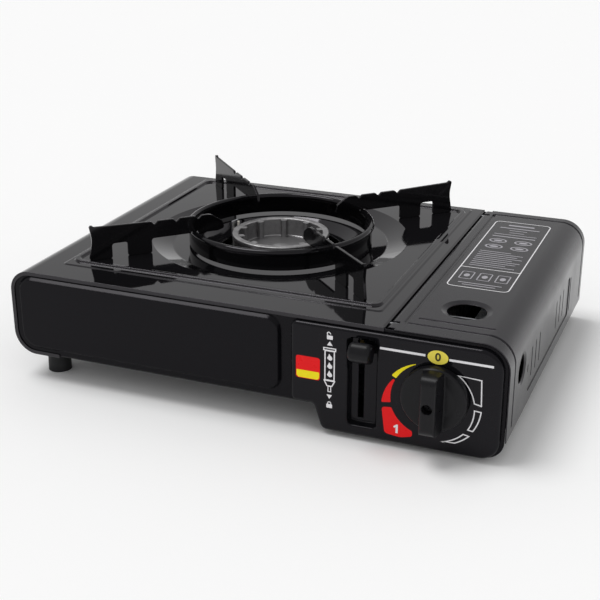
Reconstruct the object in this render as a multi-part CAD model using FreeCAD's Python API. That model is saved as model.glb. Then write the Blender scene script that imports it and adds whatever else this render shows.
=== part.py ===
import FreeCAD, Part
import math
import os

# Butane cassette stove, in millimetres, +Z up. The origin is the middle of the stove's
# footprint on the table, knob included. The front, with the knob, looks along -Y.

# Overall casing
BODY_LENGTH = 340.0
BODY_DEPTH = 246.0
BODY_TOP = 77.0
SHEET = 0.7
SEAM = 0.3
RUNNING_FIT = 0.05
SEAT_FIT = 0.02
HOLE_CLEAR = 1.0
WINDOW_CLEAR = 2.0
SLOT_ROUND = 0.45
NEAR = 0.01

# Left wrap of the top plate
TOP_CORNER = 14.5
LOWER_CORNER = 16.0
WRAP_BOTTOM = 17.6
WRAP_RETURN = 34.0
LIP = 2.6
SIDE_FOLD = 8.0
SEAM_BEND = 1.5

# Square plateau and spill ridge on the top plate
PLATEAU_RISE = 0.6
PLATEAU_MARGIN_SIDE = 3.0
PLATEAU_MARGIN_FRONT = 6.0
PLATEAU_CORNER = 3.0
RIDGE_SIZE_X = 221.0
RIDGE_SIZE_Y = 209.0
RIDGE_WIDTH = 4.0
RIDGE_RISE = 1.3
RIDGE_BEVEL = 1.0
RIDGE_CORNER = 7.0

# Burner place, measured from the left side and from the front of the casing
BURNER_FROM_LEFT = 141.0
BURNER_FROM_FRONT = 132.0

# Round stepped dish round the burner
DISH_RADIUS = 92.0
DISH_SLOPE_RADIUS = 77.0
DISH_DEPTH = 5.0
FUNNEL_RADIUS = 60.0
FUNNEL_FLAT = 5.0
FUNNEL_DEPTH = 6.0
DISH_HOLE_RADIUS = 44.0
DISH_COLLAR = 2.0
DISH_BEND = 4.0
FUNNEL_BEND = 2.5
COLLAR_BEND = 1.2

# Cartridge well on the right and the step down to it
WELL_BOTTOM = 3.0
STEP_TOP_FROM_RIGHT = 121.0
STEP_RUN = 5.5
STEP_TOP_RADIUS = 3.0
STEP_FOOT_RADIUS = 5.0
WELL_CORNER = 12.0
WELL_WALL_TOP = 30.0
DIVIDER_FOOT = 12.0

# Front panel and its raised rectangle
EMBOSS_LEFT = 6.5
EMBOSS_CLEARANCE = 7.0
EMBOSS_BOTTOM = 22.8
EMBOSS_HEIGHT = 51.2
EMBOSS_RISE = 3.0
EMBOSS_BEVEL = 2.0
EMBOSS_CORNER = 10.0
EMBOSS_LOW_CORNER = 12.0

# Control panel
CONTROL_LENGTH = 132.6
CONTROL_FROM_RIGHT = 3.4
CONTROL_TOP = 73.7
CONTROL_RAISE = 3.0
CONTROL_EDGE = 2.6
CONTROL_WALL = 1.5
CONTROL_CORNER = 4.0
CONTROL_TOP_RIGHT_CORNER = 14.0
CHANNEL_WIDTH = 18.5
CHANNEL_BOTTOM = 10.0
CHANNEL_TOP = 68.6
CHANNEL_DEPTH = 5.0
CHANNEL_WALL = 1.2
CHANNEL_CORNER = 3.0
CHANNEL_DRAFT = 1.4
CHANNEL_LIP = 0.8
SLOT_FROM_CHANNEL = 5.5
LEVER_SLOT_WIDTH = 3.7
LEVER_SLOT_BOTTOM = 13.8
LEVER_SLOT_TOP = 66.0
LEVER_FROM_RIGHT = 91.2
SHAFT_HOLE_RADIUS = 7.0
BOSS_RADIUS = 3.0
BOSS_INSET = 9.0
LOW_BOSS_INSET = 15.0

# Cartridge lid
LID_WIDTH = 77.1
LID_CORNER = 17.0
LID_SIDE_BOTTOM = 15.2
LID_CURL_RADIUS = 3.0
CURL_END = 1.0
LID_SEAM = 0.4
LID_END_RELIEF = 2.5
HINGE_NOTCH = 3.4
HINGE_INSET = 10.0
LID_GROOVE_WIDTH = 3.2
LID_GROOVE_DEPTH = 0.9
LID_GROOVE_SLOPE = 0.8
LID_GROOVE_FROM_FRONT = 12.5
LID_GROOVE_FROM_REAR = 8.0
LID_GROOVE_FROM_SEAM = 9.6
LID_GROOVE_ABOVE_EDGE = 5.0
CREASE_FROM_FRONT = 22.0
CREASE_FROM_SEAM = 15.1
CREASE_FROM_RIGHT = 15.0
LID_HOLE_RADIUS = 12.25
LID_HOLE_RIM = 3.5
LID_HOLE_DIP = 1.4
LID_HOLE_FROM_FRONT = 45.5
LID_HOLE_FROM_RIGHT = 38.6
LID_PORT_RADIUS = 9.0
LID_PORT_RIM = 2.0
LID_PORT_DIP = 1.0
LID_PORT_FROM_FRONT = 34.0
LID_PORT_HEIGHT = 48.8
LID_PANEL_FRONT = 55.0
LID_PANEL_BACK = 191.0
LID_PANEL_BOTTOM = 23.5
LID_PANEL_TOP = 53.0
LID_PANEL_DEPTH = 0.5
LID_PANEL_CORNER = 3.0
LOUVRE_WIDTH = 2.0
LOUVRE_BOTTOM = 30.5
LOUVRE_HEIGHT = 20.0
LOUVRE_PITCH = 12.0
LOUVRE_COUNT = 3
LOUVRE_FRONT_SET = 66.0
LOUVRE_BACK_SET = 146.0
SHORT_SLOT_FROM_FRONT = 52.0
SHORT_SLOT_BOTTOM = 39.0
SHORT_SLOT_HEIGHT = 5.0
LONG_SLOT_FROM_FRONT = 195.0
LONG_SLOT_WIDTH = 2.5
LONG_SLOT_BOTTOM = 25.0
LONG_SLOT_HEIGHT = 26.0

# Hinge brackets with their pins
HINGE_PIN_LENGTH = 22.0
HINGE_PLATE = 2.0
HINGE_PLATE_PAST = 0.6
HINGE_PLATE_DROP = 7.0
HINGE_PLATE_BELOW = 0.2
HINGE_PLATE_ROUND = 0.4

# Cartridge, valve and knob share one axis
VALVE_FROM_RIGHT = 43.0
VALVE_HEIGHT = 39.5
CARTRIDGE_RADIUS = 33.5
KNOB_REACH = 22.0
KNOB_RADIUS = 20.5
KNOB_GAP = 0.7
KNOB_DISC = 5.8
KNOB_EDGE = 1.6
KNOB_DISH = 0.8
KNOB_SUNK_RADIUS = 12.7
GRIP_WIDTH = 9.2
GRIP_LENGTH = 37.0
GRIP_DRAFT = 2.0
GRIP_ROUND = 2.0
GRIP_END_ROUND = 6.0
KNOB_SCREW_HOLE = 3.3
KNOB_SCREW_DEPTH = 7.0
KNOB_SCREW_HEAD = 1.8
CROSS_LENGTH = 3.6
CROSS_WIDTH = 0.8
SHAFT_RADIUS = 3.0
SHAFT_IN_KNOB = 9.0
SHAFT_IN_VALVE = 14.0
CAM_RADIUS = 8.5
CAM_LOBE = 4.5
LOBE_RADIUS = 3.0
CAM_THICKNESS = 3.0
CAM_GAP = 1.2

# Lever, turning on a pin behind the panel
LEVER_PIVOT_BACK = 24.0
LEVER_PIVOT_HEIGHT = 42.5
LEVER_ARM = 37.5
LEVER_REST_ANGLE = 31.4
LEVER_BLADE = 1.6
LEVER_BLADE_HEIGHT = 9.0
BLADE_TAPER = 1.0
BLADE_END_COVER = 3.0
LEVER_HUB_RADIUS = 9.0
PIVOT_PIN_RADIUS = 2.0
PIVOT_PIN_HEAD = 3.4
PIVOT_HEAD_THICKNESS = 1.2
PIVOT_FLANGE_RADIUS = 5.4
PIVOT_FLANGE = 1.5
DRIVE_RADIUS = 7.3
DRIVE_PIN_RADIUS = 1.8
DRIVE_PIN_PAST = 1.0
CAP_LENGTH = 13.0
CAP_HEIGHT = 12.0
CAP_WIDTH = 14.0
CAP_LEFT = 4.3
CAP_NEAR_ROUND = 3.0
CAP_FAR_ROUND = 5.0
CAP_EDGE = 2.6

# Cartridge clamp
CLAMP_SHEET = 1.6
CLAMP_ARM_GAP = 1.35
CLAMP_ARM_HEIGHT = 10.0
CLAMP_ARM_ABOVE_PIN = 0.5
CLAMP_SLOT_PLAY = 0.4
CLAMP_STROKE = 7.6
YOKE_BACK = 62.0
YOKE_WIDTH = 60.0
YOKE_BOTTOM = 20.0
YOKE_TOP = 60.0
YOKE_THROAT = 18.0
YOKE_CORNER = 4.0
GUIDE_SPAN = 48.0
GUIDE_HEIGHT = 28.0
GUIDE_RADIUS = 2.0
GUIDE_FIT = 0.08
GUIDE_PAST_YOKE = 3.0

# Regulator
REGULATOR_BACK = 46.0
REGULATOR_BLOCK = 18.0
REGULATOR_WIDTH = 44.0
REGULATOR_HEIGHT = 40.0
REGULATOR_CORNER = 6.0
NECK_RADIUS = 11.0
NECK_LENGTH = 20.0
OUTLET_RADIUS = 6.0
OUTLET_LENGTH = 9.0
CHAMBER_RADIUS = 11.4
DIAPHRAGM_RADIUS = 19.0
DIAPHRAGM_FLANGE = 3.0
DIAPHRAGM_COVER = 8.0
DIAPHRAGM_STEP = 6.5
COVER_RIM = 2.5
COVER_ROUND = 0.8
COVER_SLOPE = 1.5
COVER_VENT_RADIUS = 1.5
REGULATOR_SCREW_RADIUS = 2.2
REGULATOR_SCREW_HEAD = 1.6
BRACKET_SHEET = 1.5
BRACKET_WIDTH = 70.0
BRACKET_TOP = 71.0
BRACKET_FOOT = 10.0
BRACKET_FOOT_WIDTH = 40.0
BRACKET_CORNER = 8.0
BRACKET_SHOULDER = 13.0
INLET_FLANGE = 9.0
INLET_FLANGE_THICKNESS = 2.0
INLET_BORE = 2.2
INLET_RADIUS = 6.0
INLET_LENGTH = 8.5
SEAL_SECTION = 1.3
SEAL_INSET = 0.6
LOCATOR_WIDTH = 6.0
LOCATOR_LENGTH = 7.0
LOCATOR_ABOVE_AXIS = 19.0

# Gas line, jet and mixing tube
GAS_PIPE_RADIUS = 2.5
GAS_PIPE_BEND = 14.0
PIPE_IN_FITTING = 3.0
JET_FROM_RIGHT = 108.0
JET_FROM_FRONT = 56.0
JET_RADIUS = 4.5
JET_LENGTH = 14.0
JET_TIP = 5.0
JET_NOSE = 1.2
JET_SHOULDER = 1.3
JET_PLATE = 1.5
JET_PLATE_WIDTH = 28.0
JET_PLATE_MARGIN = 2.0
JET_PLATE_ROUND = 4.0
JET_LEG_WIDTH = 9.0
BELL_RADIUS = 13.0
TUBE_RADIUS = 9.5
TUBE_WALL = 1.5
BELL_LENGTH = 16.0
BELL_CURVE = 10.0
THROAT_LENGTH = 14.0
THROAT_STEP = 1.5
AIR_WINDOW = 9.0
AIR_WINDOW_START = 3.0
AIR_WINDOW_HEIGHT = 7.0
TUBE_FLANGE = 3.0
SOCKET_RADIUS = 12.0
SOCKET_REACH = 42.0

# Burner
BURNER_TOP = 80.0
BURNER_RADIUS = 35.0
BURNER_INNER_RADIUS = 30.3
BURNER_CROWN_HEIGHT = 16.0
BURNER_FLOOR = 3.0
BURNER_SKIRT_RADIUS = 33.4
CROWN_RIM = 3.2
CROWN_ROUND = 1.0
CROWN_DRAFT = 0.8
CROWN_BOSS_RADIUS = 6.0
CROWN_BOSS_RISE = 2.0
FLAME_SLOTS = 60
FLAME_SLOT_WIDTH = 1.0
FLAME_SLOT_HEIGHT = 5.0
FLAME_SLOT_DEPTH = 1.2
FLAME_SLOT_GAP = 1.0
POST_COUNT = 10
POST_WIDTH = 4.6
POST_DEPTH = 3.6
POST_ROUND = 1.4
POST_RISE = 12.5
CUP_TOP_RADIUS = 32.0
CUP_FOOT_RADIUS = 16.0
CUP_FOOT_ROUND = 3.0
CUP_FLARE = 2.0
CUP_WAIST_ROUND = 6.0
CUP_BOTTOM = 26.0
CUP_WALL = 2.5
BURNER_LEG_SPREAD = 46.0
BURNER_LEG_WIDTH = 16.0
BURNER_LEG_SLOPE = 3.0
BURNER_FOOT = 10.0
BURNER_SCREW_RADIUS = 2.6
BURNER_SCREW_SPREAD = 20.0
BURNER_SCREW_SHIFT = 4.0
BURNER_SCREW_HEAD = 1.8

# Igniter
ELECTRODE_ANGLE = 165.0
CERAMIC_RADIUS = 2.1
CERAMIC_FOOT = 50.0
CERAMIC_TOP = 73.0
WIRE_RADIUS = 0.8
ELECTRODE_SHEET = 1.2
TAB_WIDTH = 7.0
CLIP_PAST_SLEEVE = 2.0
CLIP_BELOW_CROWN = 4.0
PIEZO_WIDTH = 12.0
PIEZO_HEIGHT = 21.0
PIEZO_LENGTH = 18.0
PIEZO_ROUND = 2.0
PIEZO_LEG = 2.0
PIEZO_FROM_AXIS = 18.0
PIEZO_ABOVE_AXIS = 4.0
STRIKER_LENGTH = 6.0
STRIKER_THICKNESS = 3.0
LEAD_BELOW_TOP = 4.0
LEAD_RADIUS = 1.3
LEAD_ARC_SHARE = 0.45
LEAD_FIRST_RUN = 45.0
LEAD_TURN_RIGHT = 20.0
LEAD_TURN_HEIGHT = 40.0
LEAD_TURN_LEFT = 14.0
LEAD_TURN_FRONT = 40.0
LEAD_SIDE_HEIGHT = 34.0
LEAD_LOW = 30.0

# Pan support
RING_TOP = 89.0
RING_BOTTOM = 74.5
RING_RADIUS = 67.3
RING_ROLL = 2.4
RING_WALL = 1.4
ARM_SHEET = 1.8
ARM_OUTER = 140.0
ARM_WAIST = 137.5
WAIST_HEIGHT = 92.0
WAIST_CURVE = 20.0
FIRST_ARM_ANGLE = 45.0
LEG_INNER = 96.0
LEG_SLOT_INNER = 113.0
LEG_SLOT_OUTER = 124.0
LEG_SLOT_TOP = 88.0
ARM_UNDERSIDE = 88.0
ARM_TOP = 100.0
HORN_TOP = 104.0
HORN_WIDTH = 4.0
HORN_SETBACK = 0.5
HORN_ROUND = 1.4
HORN_FOOT = 1.0
LEG_ROUND = 2.0
LEG_FOOT_ROUND = 1.5
TOOTH_DEPTH = 2.4
TOOTH_FOOT_ROUND = 0.8
TOOTH_ROUND = 1.6
TOOTH_PITCH = 15.8
TOOTH_NOTCH = 5.0
TOOTH_COUNT = 3
BEAK_TIP = 43.0
BEAK_LENGTH = 10.0
BEAK_CURVE = 7.0
BEAK_LEAN = 1.5
BEAK_TOP = 94.5
BEAK_LOW = 89.0
BEAK_CHIN = 5.0
BEAK_ROUND = 1.6
INNER_UNDERSIDE = 87.5
RING_SEAT_GAP = 0.3
RING_SEAT_ROUND = 0.4

# Cartridge tray and heat plate
TRAY_SHEET = 1.0
TRAY_FRONT = 70.0
TRAY_BACK = 238.0
TRAY_HALF_ANGLE = 40.0
TRAY_HOLES = 3
TRAY_HOLE_RADIUS = 7.0
CARTRIDGE_REST = 0.5
HEAT_PLATE = 1.2
HEAT_PLATE_WIDTH = 30.0
HEAT_PLATE_REACH = 14.0
HEAT_PLATE_OFFSET = 1.5
HEAT_PLATE_FROM_CUP = 4.0

# Lid catch springs
CATCH_WIDTH = 12.0
CATCH_SHEET = 0.8
CATCH_TOP = 36.0
CATCH_GRIP = 12.0
CATCH_CREST = 4.0
CATCH_FROM_FRONT = 92.0
CATCH_FROM_BACK = 74.0

# Feet and screws
FOOT_RADIUS = 8.0
FOOT_TAPER = 0.5
FOOT_FROM_FRONT = 19.4
FOOT_FROM_SIDE = 21.0
SHORT_FOOT_RADIUS = 7.0
SHORT_FOOT_FROM_SIDE = 27.0
SCREW_HEAD_RADIUS = 3.4
SCREW_HEAD_HEIGHT = 1.4
CASE_SCREW_FROM_LEFT = 71.0
CASE_SCREW_FROM_STEP = 23.0
CASE_SCREW_FROM_EDGE = 40.0
REAR_SCREW_HEAD = 0.6
REAR_SCREW_FROM_LEFT = 30.0
REAR_SCREW_FROM_RIGHT = 20.0
REAR_SCREW_ABOVE_FLOOR = 12.0

# Rear panel vents
VENT_COUNT = 8
VENT_PITCH = 14.0
VENT_WIDTH = 3.0
VENT_HEIGHT = 26.0

# Places worked out from the sizes above
LEFT = -BODY_LENGTH / 2
RIGHT = BODY_LENGTH / 2
FRONT = -(BODY_DEPTH + KNOB_REACH) / 2 + KNOB_REACH
REAR = FRONT + BODY_DEPTH
SEAM_X = RIGHT - LID_WIDTH
BURNER_X = LEFT + BURNER_FROM_LEFT
BURNER_Y = FRONT + BURNER_FROM_FRONT
PLATEAU_TOP = BODY_TOP + PLATEAU_RISE
VALVE_X = RIGHT - VALVE_FROM_RIGHT
FLOOR_UNDER = WRAP_BOTTOM + SHEET
FLOOR_TOP = FLOOR_UNDER + SHEET
WELL_FLOOR = WELL_BOTTOM + SHEET
STEP_TOP_X = RIGHT - STEP_TOP_FROM_RIGHT
STEP_FOOT_X = STEP_TOP_X + STEP_RUN
PANEL_RIGHT = RIGHT - SHEET - LID_SEAM
WALL_RIGHT = PANEL_RIGHT - LID_GROOVE_DEPTH - SEAM
PANEL_TOP = BODY_TOP - SHEET - SEAM
PANEL_FRONT = FRONT + SHEET
PANEL_BACK = PANEL_FRONT + SHEET
REAR_PANEL_BACK = REAR - SHEET
REAR_PANEL_FRONT = REAR_PANEL_BACK - SHEET
DIVIDER_RIGHT = SEAM_X - SHEET
DIVIDER_LEFT = DIVIDER_RIGHT - SHEET
HINGE_X = SEAM_X + LID_SEAM + LID_CURL_RADIUS
HINGE_Z = BODY_TOP - LID_CURL_RADIUS
HINGE_PIN_RADIUS = LID_CURL_RADIUS - SHEET - RUNNING_FIT
LEVER_X = RIGHT - LEVER_FROM_RIGHT
PIVOT_Y = FRONT + LEVER_PIVOT_BACK
BLADE_END = LEVER_ARM + CAP_LENGTH / 2 - BLADE_END_COVER
CONTROL_FACE = FRONT - CONTROL_RAISE
CONTROL_RIGHT = RIGHT - CONTROL_FROM_RIGHT
CONTROL_LEFT = CONTROL_RIGHT - CONTROL_LENGTH
EMBOSS_RIGHT = CONTROL_LEFT - EMBOSS_CLEARANCE
KNOB_BACK = CONTROL_FACE - KNOB_GAP
KNOB_FACE = KNOB_BACK - KNOB_DISC
GRIP_FACE = FRONT - KNOB_REACH
REG_BACK_Y = FRONT + REGULATOR_BACK
BLOCK_FRONT_Y = REG_BACK_Y - REGULATOR_BLOCK
NECK_FRONT_Y = BLOCK_FRONT_Y - NECK_LENGTH
OUTLET_Y = REG_BACK_Y - OUTLET_RADIUS
BRACKET_BACK_Y = REG_BACK_Y + BRACKET_SHEET
YOKE_Y = FRONT + YOKE_BACK
HEAT_PLATE_Y = BURNER_Y + HEAT_PLATE_OFFSET
JET_X = RIGHT - JET_FROM_RIGHT
JET_Y = FRONT + JET_FROM_FRONT
GAS_LINE_Z = VALVE_HEIGHT
TUBE_ANGLE = math.degrees(math.atan2(BURNER_Y - JET_Y, BURNER_X - JET_X))
TUBE_RUN = math.hypot(BURNER_Y - JET_Y, BURNER_X - JET_X)
CROWN_BOTTOM = BURNER_TOP - BURNER_CROWN_HEIGHT
RIDGE_HALF_X = RIDGE_SIZE_X / 2
RIDGE_HALF_Y = RIDGE_SIZE_Y / 2
ELECTRODE_RADIUS = (BURNER_RADIUS + DISH_HOLE_RADIUS) / 2


# Basic helpers

def vec(x, y, z):
    return FreeCAD.Vector(x, y, z)


def front_view(y):
    """Places drawing points (across, up) in the plane at depth y."""
    return lambda u, v: vec(u, y, v)


def side_view(x):
    """Places drawing points (back, up) in the plane at x."""
    return lambda u, v: vec(x, u, v)


def top_view(z):
    """Places drawing points (across, back) in the plane at height z."""
    return lambda u, v: vec(u, v, z)


def corner_points(before, here, after, radius):
    """The two ends and the middle of the arc that rounds a corner."""
    ax, ay = before[0] - here[0], before[1] - here[1]
    bx, by = after[0] - here[0], after[1] - here[1]
    la, lb = math.hypot(ax, ay), math.hypot(bx, by)
    ax, ay, bx, by = ax / la, ay / la, bx / lb, by / lb
    half = math.acos(max(-1.0, min(1.0, ax * bx + ay * by))) / 2
    run = radius / math.tan(half)
    mx, my = ax + bx, ay + by
    lm = math.hypot(mx, my)
    mx, my = mx / lm, my / lm
    reach = radius / math.sin(half) - radius
    start = (here[0] + ax * run, here[1] + ay * run)
    middle = (here[0] + mx * reach, here[1] + my * reach)
    end = (here[0] + bx * run, here[1] + by * run)
    return start, middle, end


def outline(points, place, closed=True):
    """A wire through (u, v, radius) corners, each rounded by its own radius."""
    count = len(points)
    edges = []
    first = last = None
    for i, (u, v, radius) in enumerate(points):
        is_end = not closed and i in (0, count - 1)
        if radius <= 0 or is_end:
            start = end = (u, v)
            arc = None
        else:
            start, middle, end = corner_points(points[i - 1], (u, v), points[(i + 1) % count], radius)
            arc = Part.Arc(place(*start), place(*middle), place(*end)).toShape()
        if last is not None and math.dist(last, start) > 1e-6:
            edges.append(Part.LineSegment(place(*last), place(*start)).toShape())
        if arc is not None:
            edges.append(arc)
        first = first or start
        last = end
    if closed and math.dist(last, first) > 1e-6:
        edges.append(Part.LineSegment(place(*last), place(*first)).toShape())
    return Part.Wire(edges)


def shifted(points, offset):
    """An open path moved to its left by offset, with its corner radii to match."""
    moved = []
    count = len(points)
    for i, (u, v, radius) in enumerate(points):
        lines = []
        for j in (i - 1, i):
            if 0 <= j < count - 1:
                du, dv = points[j + 1][0] - points[j][0], points[j + 1][1] - points[j][1]
                length = math.hypot(du, dv)
                lines.append((du / length, dv / length))
        if len(lines) == 1:
            du, dv = lines[0]
            moved.append((u - dv * offset, v + du * offset, 0))
            continue
        (au, av), (bu, bv) = lines
        turn = au * bv - av * bu
        scale = offset / (1 + au * bu + av * bv)
        new_radius = radius - offset if turn > 0 else radius + offset
        moved.append((u - (av + bv) * scale, v + (au + bu) * scale, max(new_radius, 0)))
    return moved


def strip(points, near, far, place):
    """The face between two offsets of one open path: a bent sheet's section."""
    loop = shifted(points, near) + shifted(points, far)[::-1]
    return Part.Face(outline(loop, place))


def prism(points, place, travel):
    return Part.Face(outline(points, place)).extrude(travel)


def box(x0, x1, y0, y1, z0, z1):
    return Part.makeBox(x1 - x0, y1 - y0, z1 - z0, vec(x0, y0, z0))


def rod(radius, start, direction, length):
    return Part.makeCylinder(radius, length, start, direction)


def ring(outer, inner, start, direction, length):
    return rod(outer, start, direction, length).cut(rod(inner, start, direction, length))


def revolved(points, x, y):
    """A solid of revolution about the upright axis at (x, y) from (radius, z, corner) points."""
    face = Part.Face(outline(points, lambda u, v: vec(x + u, y, v)))
    return face.revolve(vec(x, y, 0), vec(0, 0, 1), 360)


def rounded_rectangle(u0, u1, v0, v1, radius):
    return [(u0, v0, radius), (u1, v0, radius), (u1, v1, radius), (u0, v1, radius)]


def fillet_where(shape, radius, wanted):
    edges = [edge for edge in shape.Edges if wanted(edge)]
    return shape.makeFillet(radius, edges)


def along(axis):
    return {"x": vec(1, 0, 0), "y": vec(0, 1, 0), "z": vec(0, 0, 1)}[axis]


def save(name, shape):
    solids = shape.Solids
    kept = solids[0] if len(solids) == 1 else Part.makeCompound(solids)
    kept.exportStep("parts/%s.step" % name)


# Casing

def wrap_path():
    """Outer line of the top plate, from the seam over the top and round the left side."""
    return [
        (SEAM_X, BODY_TOP, 0),
        (LEFT, BODY_TOP, TOP_CORNER),
        (LEFT, WRAP_BOTTOM, LOWER_CORNER),
        (LEFT + WRAP_RETURN, WRAP_BOTTOM, 0),
    ]


def ridge_square(half_x, half_y, corner, z):
    points = rounded_rectangle(BURNER_X - half_x, BURNER_X + half_x,
                               BURNER_Y - half_y, BURNER_Y + half_y, corner)
    return outline(points, top_view(z))


def seam_fold():
    """Edge of the top plate turned down along the seam, between the front and rear panels."""
    path = [(SEAM_X, BODY_TOP - SIDE_FOLD, 0), (SEAM_X, BODY_TOP, SEAM_BEND),
            (SEAM_X - SIDE_FOLD, BODY_TOP, 0)]
    depth = vec(0, REAR_PANEL_FRONT - PANEL_BACK - 2 * SEAM, 0)
    return strip(path, 0, SHEET, front_view(PANEL_BACK + SEAM)).extrude(depth)


def dish_shell():
    """Pressed dish: sloped rim, flat ring, funnel and the collar round the burner hole."""
    flat = PLATEAU_TOP - DISH_DEPTH
    low = flat - FUNNEL_DEPTH
    collar = DISH_HOLE_RADIUS + SHEET
    upper = [
        (DISH_RADIUS, PLATEAU_TOP, 0),
        (DISH_SLOPE_RADIUS, flat, DISH_BEND),
        (FUNNEL_RADIUS, flat, FUNNEL_BEND),
        (collar + FUNNEL_FLAT, low, FUNNEL_BEND),
        (collar, low, COLLAR_BEND),
        (collar, low + DISH_COLLAR, 0),
    ]
    return revolved(upper + [(u, v, r) for u, v, r in shifted(upper, SHEET)[::-1]], BURNER_X, BURNER_Y)


def spill_ridge():
    """Raised square bead with sloped sides."""
    rings = []
    for inset, slope in ((0, RIDGE_BEVEL), (RIDGE_WIDTH, -RIDGE_BEVEL)):
        foot = ridge_square(RIDGE_HALF_X - inset, RIDGE_HALF_Y - inset, RIDGE_CORNER - inset / 2, PLATEAU_TOP)
        crest = ridge_square(RIDGE_HALF_X - inset - slope, RIDGE_HALF_Y - inset - slope,
                             RIDGE_CORNER - inset / 2 - slope, PLATEAU_TOP + RIDGE_RISE)
        rings.append(Part.makeLoft([foot, crest], True))
    return rings[0].cut(rings[1])


def top_plate():
    path = wrap_path()
    depth = vec(0, BODY_DEPTH, 0)
    plate = strip(path, 0, SHEET, front_view(FRONT)).extrude(depth)
    for y in (FRONT, REAR - SHEET):
        plate = plate.fuse(strip(path, 0, LIP, front_view(y)).extrude(vec(0, SHEET, 0)))
    edges = []
    for inset, z in ((0, BODY_TOP), (2 * PLATEAU_RISE, PLATEAU_TOP)):
        edges.append(ridge_square(RIDGE_HALF_X + PLATEAU_MARGIN_SIDE - inset,
                                  RIDGE_HALF_Y + PLATEAU_MARGIN_FRONT - inset, PLATEAU_CORNER, z))
    plate = plate.fuse(Part.makeLoft(edges, True))
    plate = plate.fuse(spill_ridge())
    strip_off = box(SEAM_X - SEAM_BEND, SEAM_X + SHEET, PANEL_BACK + SEAM, REAR_PANEL_FRONT - SEAM,
                    BODY_TOP - LIP, BODY_TOP + SHEET)
    plate = plate.cut([strip_off, rod(DISH_RADIUS, vec(BURNER_X, BURNER_Y, 0), along("z"), BODY_TOP * 2)])
    return plate.fuse([dish_shell(), seam_fold()])


def panel_outline():
    """Outline of the front and rear panels, seen from the front."""
    left = LEFT + SHEET + SEAM
    wrapped = SHEET + SEAM
    return [
        (left, PANEL_TOP, TOP_CORNER - wrapped),
        (left, FLOOR_TOP, LOWER_CORNER - wrapped),
        (STEP_TOP_X, FLOOR_TOP, STEP_TOP_RADIUS),
        (STEP_FOOT_X, WELL_BOTTOM, STEP_FOOT_RADIUS),
        (PANEL_RIGHT, WELL_BOTTOM, WELL_CORNER),
        (PANEL_RIGHT, PANEL_TOP, LID_CORNER - SHEET - LID_SEAM),
    ]


def emboss_outline(inset, y):
    left, right = LEFT + EMBOSS_LEFT + inset, EMBOSS_RIGHT - inset
    low, high = EMBOSS_BOTTOM + inset, EMBOSS_BOTTOM + EMBOSS_HEIGHT - inset
    points = [
        (left, low, EMBOSS_LOW_CORNER - inset), (right, low, EMBOSS_CORNER - inset),
        (right, high, EMBOSS_CORNER - inset), (left, high, EMBOSS_CORNER - inset),
    ]
    return outline(points, front_view(y))


def front_panel():
    plate = prism(panel_outline(), front_view(PANEL_FRONT), vec(0, SHEET, 0))
    face = PANEL_FRONT - EMBOSS_RISE
    raised = Part.makeLoft([emboss_outline(0, PANEL_FRONT), emboss_outline(EMBOSS_BEVEL, face)], True)
    hollow = Part.makeLoft([emboss_outline(SHEET, PANEL_BACK),
                            emboss_outline(EMBOSS_BEVEL + SHEET, face + SHEET)], True)
    plate = plate.fuse(raised).cut(hollow)
    half = CHANNEL_WIDTH / 2 + CHANNEL_WALL + SEAM
    centre = channel_centre()
    window = box(centre - half, centre + half, PANEL_FRONT - SHEET, PANEL_BACK + SHEET,
                 CHANNEL_BOTTOM - CHANNEL_WALL - SEAM, CHANNEL_TOP + CHANNEL_WALL + SEAM)
    plate = plate.cut(window)
    return plate.cut(rod(SHAFT_HOLE_RADIUS, vec(VALVE_X, PANEL_FRONT - SHEET, VALVE_HEIGHT),
                         along("y"), SHEET * 3))


def slot_outline(centre, width, low, high):
    """An upright slot with rounded ends."""
    return rounded_rectangle(centre - width / 2, centre + width / 2, low, high, width * SLOT_ROUND)


def rear_panel():
    plate = prism(panel_outline(), front_view(REAR_PANEL_FRONT), vec(0, SHEET, 0))
    low = (FLOOR_TOP + BODY_TOP - VENT_HEIGHT) / 2
    for centre in (BURNER_X, (SEAM_X + PANEL_RIGHT) / 2):
        count = VENT_COUNT if centre == BURNER_X else VENT_COUNT // 2
        for i in range(count):
            x = centre + (i - (count - 1) / 2) * VENT_PITCH
            points = slot_outline(x, VENT_WIDTH, low, low + VENT_HEIGHT)
            plate = plate.cut(prism(points, front_view(REAR_PANEL_FRONT - SHEET), vec(0, SHEET * 3, 0)))
    return plate


def base_path():
    """Underside line of the base, from the burner side over the step to the well's right wall."""
    return [
        (LEFT + LOWER_CORNER + SHEET, FLOOR_UNDER, 0),
        (STEP_TOP_X - SHEET, FLOOR_UNDER, STEP_TOP_RADIUS),
        (STEP_FOOT_X, WELL_BOTTOM, STEP_FOOT_RADIUS),
        (WALL_RIGHT, WELL_BOTTOM, WELL_CORNER),
        (WALL_RIGHT, WELL_WALL_TOP, 0),
    ]


def base_pan():
    depth = REAR_PANEL_FRONT - PANEL_BACK
    return strip(base_path(), 0, SHEET, front_view(PANEL_BACK)).extrude(vec(0, depth, 0))


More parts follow.
